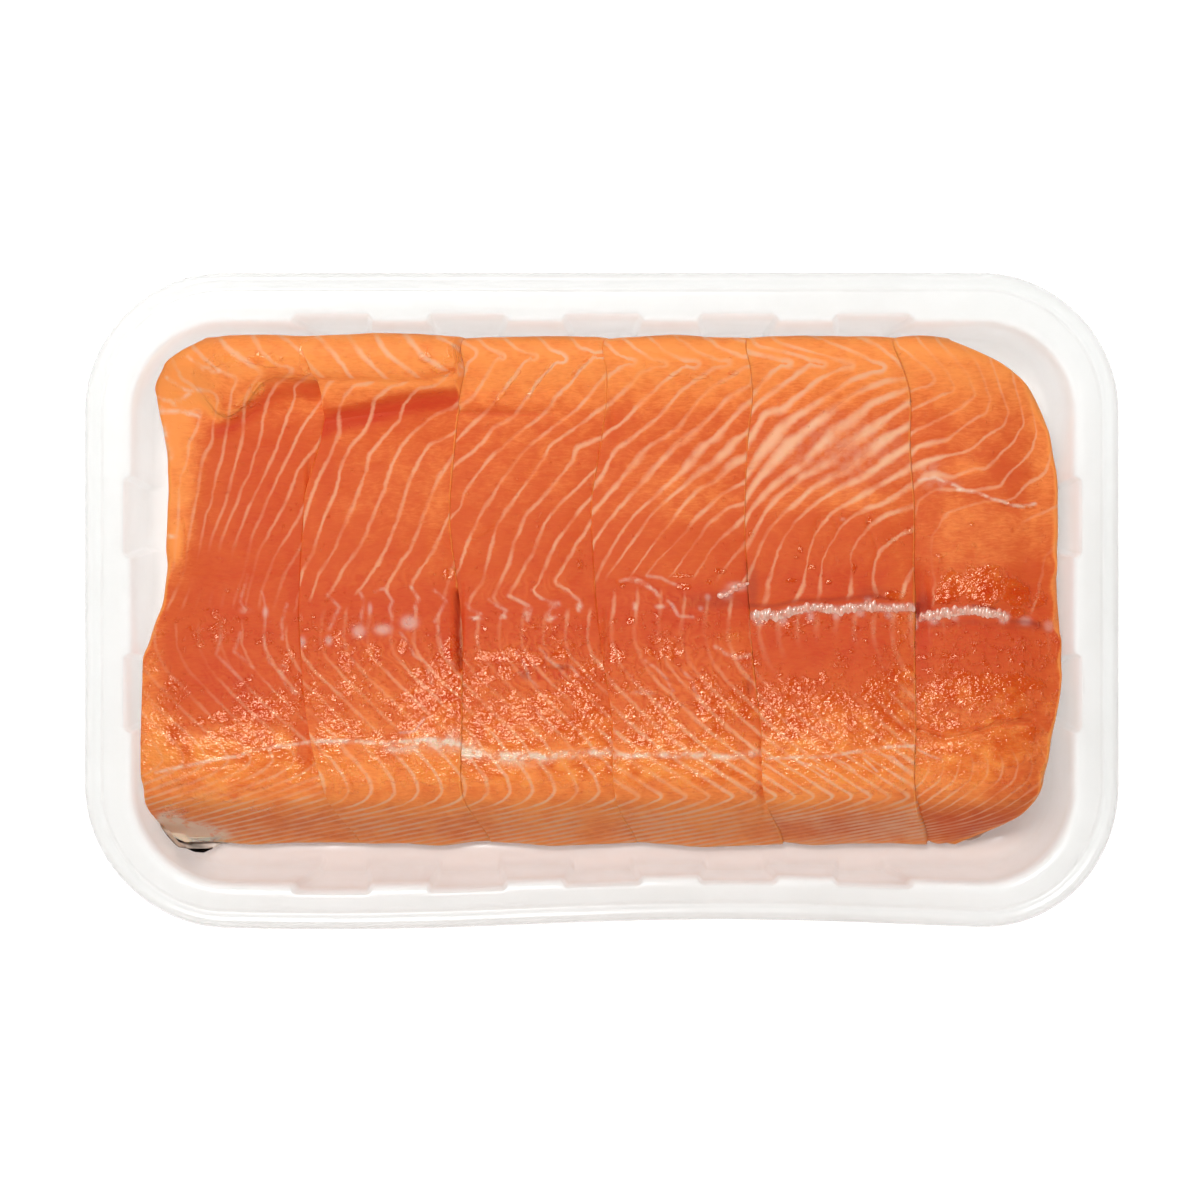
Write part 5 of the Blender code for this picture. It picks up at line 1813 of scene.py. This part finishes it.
class Nodes:
    """Adds nodes to a tree and joins them."""

    def __init__(self, tree: Tree) -> None:
        """Keep the tree that the nodes go into."""
        self.tree = tree

    def fill(self, node: Node, inputs: dict[str | int, Value]) -> None:
        """Fill a node's sockets.

        Args:
            node: The node.
            inputs: What each socket gets: a constant, or another socket to join it to.
        """
        for key, value in inputs.items():
            if isinstance(value, Socket):
                self.tree.links.new(value, node.inputs[key])
            else:
                node.inputs[key].default_value = value

    def add(self, kind: str, inputs: dict[str | int, Value] | None = None, **settings: object) -> Node:
        """Add one node.

        Args:
            kind: The node's type.
            inputs: What its sockets get.
            **settings: The node's own properties.

        Returns:
            The new node.
        """
        node = self.tree.nodes.new(kind)
        for name, value in settings.items():
            setattr(node, name, value)
        self.fill(node, inputs or {})
        return node

    def maths(self, operation: str, *values: Value, clamp: bool = False) -> Socket:
        """Return the result of a sum on values."""
        inputs = dict(enumerate(values))
        return self.add("ShaderNodeMath", inputs, operation=operation, use_clamp=clamp).outputs[0]

    def times(self, first: Value, second: Value) -> Socket:
        """Return the product of two values."""
        return self.maths("MULTIPLY", first, second)

    def vectors(self, operation: str, *values: Value) -> Socket:
        """Return the result of a sum on vectors."""
        return self.add("ShaderNodeVectorMath", dict(enumerate(values)), operation=operation).outputs[0]

    def mix(self, factor: Value, first: Socket | Colour, second: Socket | Colour) -> Socket:
        """Return a mix of two colours.

        Args:
            factor: The second colour's share.
            first: A socket, or a colour in the eight-bit scale of a screen.
            second: Another one.

        Returns:
            The mixed colour.
        """
        inputs: dict[int, Value] = {MIX_FACTOR: factor}
        for key, colour in ((MIX_A, first), (MIX_B, second)):
            inputs[key] = colour if isinstance(colour, Socket) else srgb(*colour)
        return self.add("ShaderNodeMix", inputs, data_type="RGBA").outputs[MIX_RESULT]

    def spread(self, value: Value, low: Value, high: Value, start: float = 0.0, end: float = 1.0) -> Socket:
        """Return a value mapped smoothly from low..high to start..end."""
        inputs = {"Value": value, "From Min": low, "From Max": high, "To Min": start, "To Max": end}
        return self.add("ShaderNodeMapRange", inputs, interpolation_type="SMOOTHSTEP").outputs[0]

    def noise(self, place: Value, scale: float, detail: float = 2.0, rough: float = 0.5) -> Socket:
        """Return a noise between zero and one."""
        inputs = {"Vector": place, "Scale": scale, "Detail": detail, "Roughness": rough}
        return self.add("ShaderNodeTexNoise", inputs).outputs[0]

    def bump(self, height: Value, distance: float, strength: float = 1.0, **others: Value) -> Socket:
        """Return a normal tilted by a height."""
        inputs = {"Height": height, "Distance": distance, "Strength": strength, **others}
        return self.add("ShaderNodeBump", inputs).outputs["Normal"]

    def mark(self, name: str) -> Socket:
        """Return a number that the mesh carries on its points."""
        return self.add("ShaderNodeAttribute", attribute_name=name).outputs["Fac"]

    def group(self, tree: Tree, **inputs: Value) -> bpy.types.bpy_prop_collection:
        """Return the outputs of a group that is given its inputs."""
        return self.add("ShaderNodeGroup", inputs, node_tree=tree).outputs


def start_group(
    name: str, inputs: dict[str, str], outputs: dict[str, str], kind: str = "ShaderNodeTree"
) -> tuple[Nodes, bpy.types.bpy_prop_collection, Node]:
    """Start a node group.

    Args:
        name: The group's name.
        inputs: Names and types of its inputs.
        outputs: Names and types of its outputs.
        kind: The type of its tree.

    Returns:
        A helper for its nodes, the sockets that it is given and its output node.
    """
    tree = bpy.data.node_groups.new(name, kind)
    for way, sockets in (("INPUT", inputs), ("OUTPUT", outputs)):
        for label, shape in sockets.items():
            tree.interface.new_socket(name=label, in_out=way, socket_type=f"NodeSocket{shape}")
    nodes = Nodes(tree)
    return nodes, nodes.add("NodeGroupInput").outputs, nodes.add("NodeGroupOutput")


@cache
def tufts_along_line() -> Tree:
    """Return the geometry group that sets uneven tufts along a line."""
    sizes = dict.fromkeys(("Spacing", "Length", "Width", "Height", "Scatter", "Swing"), "Float")
    nodes, given, end = start_group(
        "tufts along a line",
        {"Line": "Geometry", **sizes, "Seed": "Int", "Finish": "Material"},
        {"Tufts": "Geometry"},
        "GeometryNodeTree",
    )

    def scattered(low: Sequence[float], high: Sequence[float], step: float, size: Value) -> Socket:
        """Return a size times random vectors between two limits."""
        inputs = {0: low, 1: high, RANDOM_SEED: nodes.maths("ADD", given["Seed"], step)}
        random = nodes.add("FunctionNodeRandomValue", inputs, data_type="FLOAT_VECTOR")
        return nodes.vectors("MULTIPLY", random.outputs[0], size)

    curve = nodes.add("GeometryNodeMeshToCurve", {0: given["Line"]}).outputs[0]
    inputs = {"Curve": curve, "Length": given["Spacing"]}
    points = nodes.add("GeometryNodeCurveToPoints", inputs, mode="LENGTH").outputs[0]
    away = nodes.add("ShaderNodeCombineXYZ", {0: given["Scatter"], 1: given["Scatter"]}).outputs[0]
    inputs = {"Geometry": points, "Offset": scattered((-1, -1, 0), (1, 1, 0), 1.0, away)}
    moved = nodes.add("GeometryNodeSetPosition", inputs).outputs[0]
    size = nodes.add("ShaderNodeCombineXYZ", {0: given["Width"], 1: given["Length"], 2: given["Height"]})
    inputs = {
        "Points": moved,
        "Instance": nodes.add("GeometryNodeMeshIcoSphere", {"Radius": 0.5, "Subdivisions": 3}).outputs[0],
        "Scale": scattered((0.7, 0.45, 0.7), (1.25, 1.2, 1.2), 2.0, size.outputs[0]),
        "Rotation": scattered((-0.3, -0.3, -1), (0.3, 0.3, 1), 3.0, given["Swing"]),
    }
    placed = nodes.add("GeometryNodeInstanceOnPoints", inputs).outputs[0]
    real = nodes.add("GeometryNodeRealizeInstances", {0: placed}).outputs[0]
    inputs = {"Geometry": real, "Material": given["Finish"]}
    nodes.fill(end, {"Tufts": nodes.add("GeometryNodeSetMaterial", inputs).outputs[0]})
    return nodes.tree


@cache
def pale_lines() -> Tree:
    """Return the shader group that draws lines where a number is whole, with a halo beside them."""
    inputs = {"Place": "Vector", "Number": "Float", "Band": "Float", "Gain": "Float"}
    nodes, given, end = start_group("pale lines", inputs, {"Line": "Float", "Halo": "Float"})
    place, gain = given["Place"], given["Gain"]
    wobble = nodes.maths("MULTIPLY_ADD", nodes.noise(place, 260.0, 4.0, 0.6), 0.22, -0.11)
    moved = nodes.maths("ADD", given["Number"], wobble)
    centred = nodes.maths("FRACT", nodes.maths("ADD", moved, 0.5))
    signed = nodes.maths("SUBTRACT", centred, 0.5)
    uneven = nodes.maths("MULTIPLY_ADD", nodes.noise(place, 120.0), 1.5, 0.3)
    band = nodes.times(given["Band"], uneven)
    away = nodes.maths("ABSOLUTE", signed)
    line = nodes.spread(away, nodes.times(band, 0.15), nodes.times(band, 1.8), 1.0, 0.0)
    broken = nodes.spread(nodes.noise(place, 75.0, 3.0), 0.32, 0.62, 0.2, 1.0)
    wide = nodes.maths("ADD", nodes.times(band, 2.0), 0.08)
    halo = nodes.spread(signed, 0.0, wide, 1.0, 0.0)
    below = nodes.times(nodes.maths("GREATER_THAN", signed, 0.0), gain)
    line = nodes.times(nodes.times(line, broken), gain)
    nodes.fill(end, {"Line": line, "Halo": nodes.times(halo, below)})
    return nodes.tree


@cache
def wet_ripples() -> Tree:
    """Return the shader group that ripples a wet surface so that it glints."""
    inputs = {"Place": "Vector", "Wet": "Float"}
    nodes, given, end = start_group("wet ripples", inputs, {"Normal": "Vector", "Film": "Float"})
    place = given["Place"]
    large = nodes.noise(nodes.vectors("MULTIPLY", place, (0.75, 1.0, 1.0)), 800.0, 1.8, 0.55)
    patchy = nodes.maths("MULTIPLY_ADD", given["Wet"], 0.5, nodes.noise(place, 420.0, 3.0, 0.6))
    film = nodes.spread(patchy, 0.62, 0.82)
    height = nodes.times(large, nodes.maths("MULTIPLY_ADD", film, 0.85, 0.15))
    nodes.fill(end, {"Normal": nodes.bump(height, 0.00052), "Film": film})
    return nodes.tree


@cache
def fibres() -> Tree:
    """Return the shader group with the grain of muscle."""
    nodes, given, end = start_group("fibres", {"Place": "Vector"}, {"Grain": "Float", "Mottle": "Float"})
    place = given["Place"]
    bend = nodes.add("ShaderNodeTexNoise", {"Vector": place, "Scale": 90.0}).outputs["Color"]
    moved = nodes.vectors("MULTIPLY_ADD", bend, (0.004, 0.004, 0.004), place)
    grain = nodes.noise(nodes.vectors("MULTIPLY", moved, (0.22, 1.0, 1.0)), 1500.0, 3.0, 0.6)
    nodes.fill(end, {"Grain": grain, "Mottle": nodes.noise(place, 170.0, 4.0, 0.55)})
    return nodes.tree


# ---------------- finishes


@dataclass(frozen=True)
class Finish:
    """A finish. Its colours are in the eight-bit scale of a screen."""

    name: str

    def material(self) -> bpy.types.Material:
        """Return the finish's material, which is made on its first use."""
        made = bpy.data.materials.get(self.name)
        if made is None:
            made = bpy.data.materials.new(self.name)
            made.use_nodes = True
            nodes = Nodes(made.node_tree)
            place = nodes.add("ShaderNodeTexCoord").outputs["Object"]
            nodes.fill(made.node_tree.nodes["Principled BSDF"], self.look(nodes, place))
        return made

    def look(self, nodes: Nodes, place: Socket) -> dict[str, Value]:
        """Return what the shader's sockets get.

        Args:
            nodes: Where the finish adds its nodes.
            place: The place on the object.

        Returns:
            A constant or a socket for each of the shader's inputs that the finish sets.
        """
        raise NotImplementedError


@dataclass(frozen=True)
class FleshFinish(Finish):
    """Raw salmon: orange muscle with pale lines, moist and in places wet."""

    name: str = "salmon flesh"
    deep: Colour = (205, 54, 4)
    middle: Colour = (217, 88, 26)
    light: Colour = (255, 154, 76)
    line: Colour = (242, 182, 142)
    fat: Colour = (240, 208, 184)
    bone: Colour = (222, 160, 146)
    # Dark red along the backbone's vein, and also painted shade in the slits at cuts, in pits and in dips.
    blood_and_shade: Colour = (150, 30, 18)
    dark: Colour = (96, 90, 84)
    gleam: Colour = (255, 222, 192)

    def look(self, nodes: Nodes, place: Socket) -> dict[str, Value]:
        """Return what the shader's sockets get, as in Finish."""
        grown = nodes.group(fibres(), Place=place)
        wet = nodes.group(wet_ripples(), Place=place, Wet=nodes.mark("wet"))
        lines = nodes.group(pale_lines(), Place=place, Number=nodes.mark("line_phase"),
                            Band=nodes.mark("line_band"), Gain=nodes.mark("line_gain"))
        mottle = nodes.spread(grown["Mottle"], 0.25, 0.75, -0.16, 0.16)
        tone = nodes.maths("ADD", nodes.mark("tone"), mottle)
        tone = nodes.maths("ADD", tone, nodes.spread(grown["Grain"], 0.2, 0.8, -0.16, 0.16))
        tone = nodes.maths("MULTIPLY_ADD", lines["Halo"], 0.22, tone)
        colour = nodes.mix(nodes.spread(tone, -1.0, 0.1), self.deep, self.middle)
        colour = nodes.mix(nodes.spread(tone, -0.15, 1.0), colour, self.light)
        colour = nodes.mix(lines["Line"], colour, self.line)
        colour = nodes.mix(nodes.mark("bone"), colour, self.bone)
        colour = nodes.mix(nodes.times(nodes.mark("blood_and_shade"), 0.8), colour, self.blood_and_shade)
        streaks = nodes.spread(nodes.noise(place, 330.0, 3.0), 0.36, 0.6, 0.2, 1.0)
        colour = nodes.mix(nodes.times(nodes.mark("fat"), streaks), colour, self.fat)
        colour = nodes.mix(nodes.mark("dark"), colour, self.dark)
        colour = nodes.mix(nodes.times(nodes.mark("ridge"), 0.22), colour, self.light)
        return {
            "Base Color": colour,
            "Roughness": nodes.maths("MULTIPLY_ADD", wet["Film"], -0.47, 0.64, clamp=True),
            "Normal": nodes.bump(grown["Grain"], 0.00006, Normal=wet["Normal"]),
            "Specular IOR Level": 0.64,
            "Specular Tint": srgb(*self.gleam),
            "Subsurface Weight": 0.55,
            "Subsurface Radius": (1.0, 0.4, 0.2),
            "Subsurface Scale": 0.0024,
        }


@dataclass(frozen=True)
class SkinFinish(Finish):
    """Fish skin: silvery, with fine scales and darker blotches."""

    name: str = "salmon skin"
    pale: Colour = (238, 222, 208)
    cloudy: Colour = (222, 200, 184)
    dark: Colour = (96, 92, 86)

    def look(self, nodes: Nodes, place: Socket) -> dict[str, Value]:
        """Return what the shader's sockets get, as in Finish."""
        scales = nodes.add("ShaderNodeTexVoronoi", {"Vector": place, "Scale": 520.0}).outputs["Distance"]
        blotches = nodes.spread(nodes.noise(place, 110.0, 3.0), 0.45, 0.75)
        colour = nodes.mix(blotches, self.pale, self.cloudy)
        edge = nodes.spread(scales, 0.2, 0.9)
        colour = nodes.mix(nodes.times(edge, 0.35), colour, self.cloudy)
        dark = nodes.maths("MULTIPLY", nodes.mark("dark"), 1.0, clamp=True)
        return {
            "Base Color": nodes.mix(dark, colour, self.dark),
            "Normal": nodes.bump(scales, 0.0003, 0.3),
            "Roughness": 0.35,
            "Coat Weight": 0.4,
        }


@dataclass(frozen=True)
class TissueFinish(Finish):
    """Thin pale pink tissue, wet and a little see-through."""

    name: str = "spine tissue"
    pale: Colour = (240, 186, 166)
    pink: Colour = (228, 146, 122)

    def look(self, nodes: Nodes, place: Socket) -> dict[str, Value]:
        """Return what the shader's sockets get, as in Finish."""
        cloud = nodes.spread(nodes.noise(place, 420.0), 0.35, 0.65)
        ripple = nodes.noise(nodes.vectors("MULTIPLY", place, (1.0, 0.4, 1.0)), 1400.0, 1.0)
        return {
            "Base Color": nodes.mix(cloud, self.pale, self.pink),
            "Normal": nodes.bump(ripple, 0.0002, 0.6),
            "Roughness": 0.3,
            "Coat Weight": 0.6,
            "Coat Roughness": 0.12,
            "Subsurface Weight": 0.3,
            "Subsurface Radius": (1.0, 0.5, 0.4),
            "Subsurface Scale": 0.001,
        }


@dataclass(frozen=True)
class PlasticFinish(Finish):
    """Milky, glossy plastic, slightly wavy from forming, with the flesh's reflected glow and shade painted
    on its inner walls.
    """

    name: str = "tray plastic"
    body: Colour = (206, 209, 206)
    cloudy: Colour = (199, 202, 198)
    flesh_glow_and_shade: Colour = (152, 106, 78)
    opacity: float = 0.50
    shade: float = 0.12

    def look(self, nodes: Nodes, place: Socket) -> dict[str, Value]:
        """Return what the shader's sockets get, as in Finish."""
        cloud = nodes.spread(nodes.noise(place, 28.0, 3.0), 0.3, 0.7)
        parts = nodes.add("ShaderNodeSeparateXYZ", {0: place}).outputs
        below_rim = nodes.spread(parts["Z"], 0.034, 0.042, 1.0, 0.0)
        # Painted reflected glow of the flesh and painted shade on the inner walls below the rim, most on
        # the front wall.
        inside = nodes.times(below_rim, nodes.spread(parts["Y"], -0.095, -0.025, 1.0, 0.14))
        wave = nodes.noise(nodes.vectors("MULTIPLY", place, (1.0, 1.0, 0.4)), 95.0)
        path = nodes.add("ShaderNodeLightPath").outputs["Is Shadow Ray"]
        return {
            "Base Color": nodes.mix(inside, nodes.mix(cloud, self.body, self.cloudy), self.flesh_glow_and_shade),
            "Normal": nodes.bump(wave, 0.0012, 0.25),
            "Alpha": nodes.maths("MULTIPLY_ADD", path, self.shade - self.opacity, self.opacity),
            "Roughness": 0.28,
            "Coat Weight": 0.3,
            "Coat Roughness": 0.08,
            "Subsurface Weight": 1.0,
            "Subsurface Radius": (1.0, 1.0, 1.0),
            "Subsurface Scale": 0.012,
        }


@dataclass(frozen=True)
class FloorFinish(Finish):
    """A plain pale sweep with a very faint cloud."""

    name: str = "pale sweep"
    pale: Colour = (250, 250, 250)
    faint: Colour = (247, 247, 247)

    def look(self, nodes: Nodes, place: Socket) -> dict[str, Value]:
        """Return what the shader's sockets get, as in Finish."""
        colour = nodes.mix(nodes.noise(place, 3.0), self.pale, self.faint)
        return {
            "Base Color": colour,
            "Emission Color": colour,
            "Emission Strength": 0.45,
            "Roughness": 0.9,
        }


FLESH = FleshFinish()
SKIN = SkinFinish()
TISSUE = TissueFinish()
PLASTIC = PlasticFinish()
FLOOR = FloorFinish()


# ---------------- studio


@dataclass
class Studio:
    """The pale floor, the soft light and the camera straight above."""

    camera_x: float = -0.00055
    camera_y: float = 0.00033
    camera_height: float = 1.544
    lens: float = 143.59
    floor_half: float = 3.0
    surround: float = 0.86
    front_share: float = 0.54
    overhead: float = 0.08
    key_place: tuple[float, float, float] = (-0.22, 0.50, 1.32)
    key_size: float = 0.36
    key_power: float = 12.5

    def build(self) -> None:
        """Set the stage."""
        self.build_floor()
        self.build_world()
        self.build_key()
        self.build_camera()
        bpy.context.scene.view_settings.view_transform = "Standard"

    def build_floor(self) -> None:
        """Lay the floor just below the tray."""
        half = self.floor_half
        corners = ((-half, -half), (half, -half), (half, half), (-half, half))
        points = np.array([(x, y, 0.0) for x, y in corners])
        floor = new_object("floor", points, [(0, 1, 2, 3)])
        floor.data.materials.append(FLOOR.material())

    def build_world(self) -> None:
        """Surround the object with even white light."""
        world = bpy.data.worlds.new("white surround")
        world.use_nodes = True
        nodes = Nodes(world.node_tree)
        background = world.node_tree.nodes["Background"]
        direction = nodes.add("ShaderNodeTexCoord").outputs["Generated"]
        parts = nodes.add("ShaderNodeSeparateXYZ", {0: direction}).outputs
        shade = nodes.spread(parts["Z"], 0.52, 0.88, self.surround, self.overhead)
        leaning = nodes.maths("MULTIPLY_ADD", parts["Y"], -self.front_share, 1.0)
        shade = nodes.maths("MULTIPLY", shade, leaning)
        world.node_tree.links.new(shade, background.inputs["Strength"])
        background.inputs["Color"].default_value = (1.0, 1.0, 1.0, 1.0)
        bpy.context.scene.world = world

    def build_key(self) -> None:
        """Hang the large soft light on the belly side."""
        light = bpy.data.lights.new("key", "AREA")
        light.shape = "SQUARE"
        light.size = self.key_size
        light.energy = self.key_power
        item = bpy.data.objects.new("key", light)
        item.location = self.key_place
        aim = -Vector(self.key_place)
        item.rotation_euler = aim.to_track_quat("-Z", "Y").to_euler()
        bpy.context.scene.collection.objects.link(item)

    def build_camera(self) -> None:
        """Look straight down at the tray."""
        camera = bpy.data.cameras.new("camera")
        camera.lens = self.lens
        camera.sensor_width = 36.0
        item = bpy.data.objects.new("camera", camera)
        item.location = (self.camera_x, self.camera_y, self.camera_height)
        bpy.context.scene.collection.objects.link(item)
        bpy.context.scene.camera = item


SKIN_SHOWS = {
    "portion_1": (SkinShow(Side.LEFT, -74, 12, 9),),
    "portion_6": (SkinShow(Side.RIGHT, 75, 10, 7),),
}
SKIN_HEMS = {"portion_1": marks((-130, -77, 9, 9, 5)), "portion_6": marks((120, -77, 7, 7, 1.4))}
SKIN_CLIMBS = {"portion_1": 0.0014}

TISSUE_STRIPS = {
    "portion_4": TissueStrip(
        trace(38, 1.6, 40, 2.4, 43, 4.4, 46, 5.2), 4, tuft_length=0.0019, spacing=0.0011
    ),
    "portion_5": TissueStrip(
        trace(48.4, -4.9, 52, -4.5, 56, -4.7, 61, -3.3, 68, -2.2, 75, -3.1, 80, -2.3,
            84, -2.1, 90, -2.5, 98.6, -2.2), 5
    ),
    "portion_6": TissueStrip(
        trace(101.4, -5.5, 105, -4.7, 112, -3.7, 118, -3.1, 124, -4.1, 128.5, -5.1), 6
    ),
}


def main() -> None:
    """Build the object and its stage, and log each built piece's number of points."""
    logging.basicConfig(level=logging.INFO, format="%(name)s: %(message)s")
    tray_shape, plan = TrayShape(), FilletPlan()
    Studio().build()
    tray = Tray(tray_shape).build()
    LOG.info("%s: %d points", tray.name, len(tray.data.vertices))
    for number, style in enumerate(STYLES):
        name = style.name
        shows, hems = SKIN_SHOWS.get(name, ()), SKIN_HEMS.get(name, ())
        climb = SKIN_CLIMBS.get(name, 0.0)
        skin = SkinSheet(number, name, tray_shape, plan, shows, hems, style.dark, climb).build()
        muscle = Muscle(number, style, tray_shape, plan).build()
        pieces = [skin, muscle]
        if name in TISSUE_STRIPS:
            pieces.append(TISSUE_STRIPS[name].build(muscle, name))
        for piece in pieces:
            LOG.info("%s: %d points", piece.name, len(piece.data.vertices))


if __name__ == "__main__":
    main()
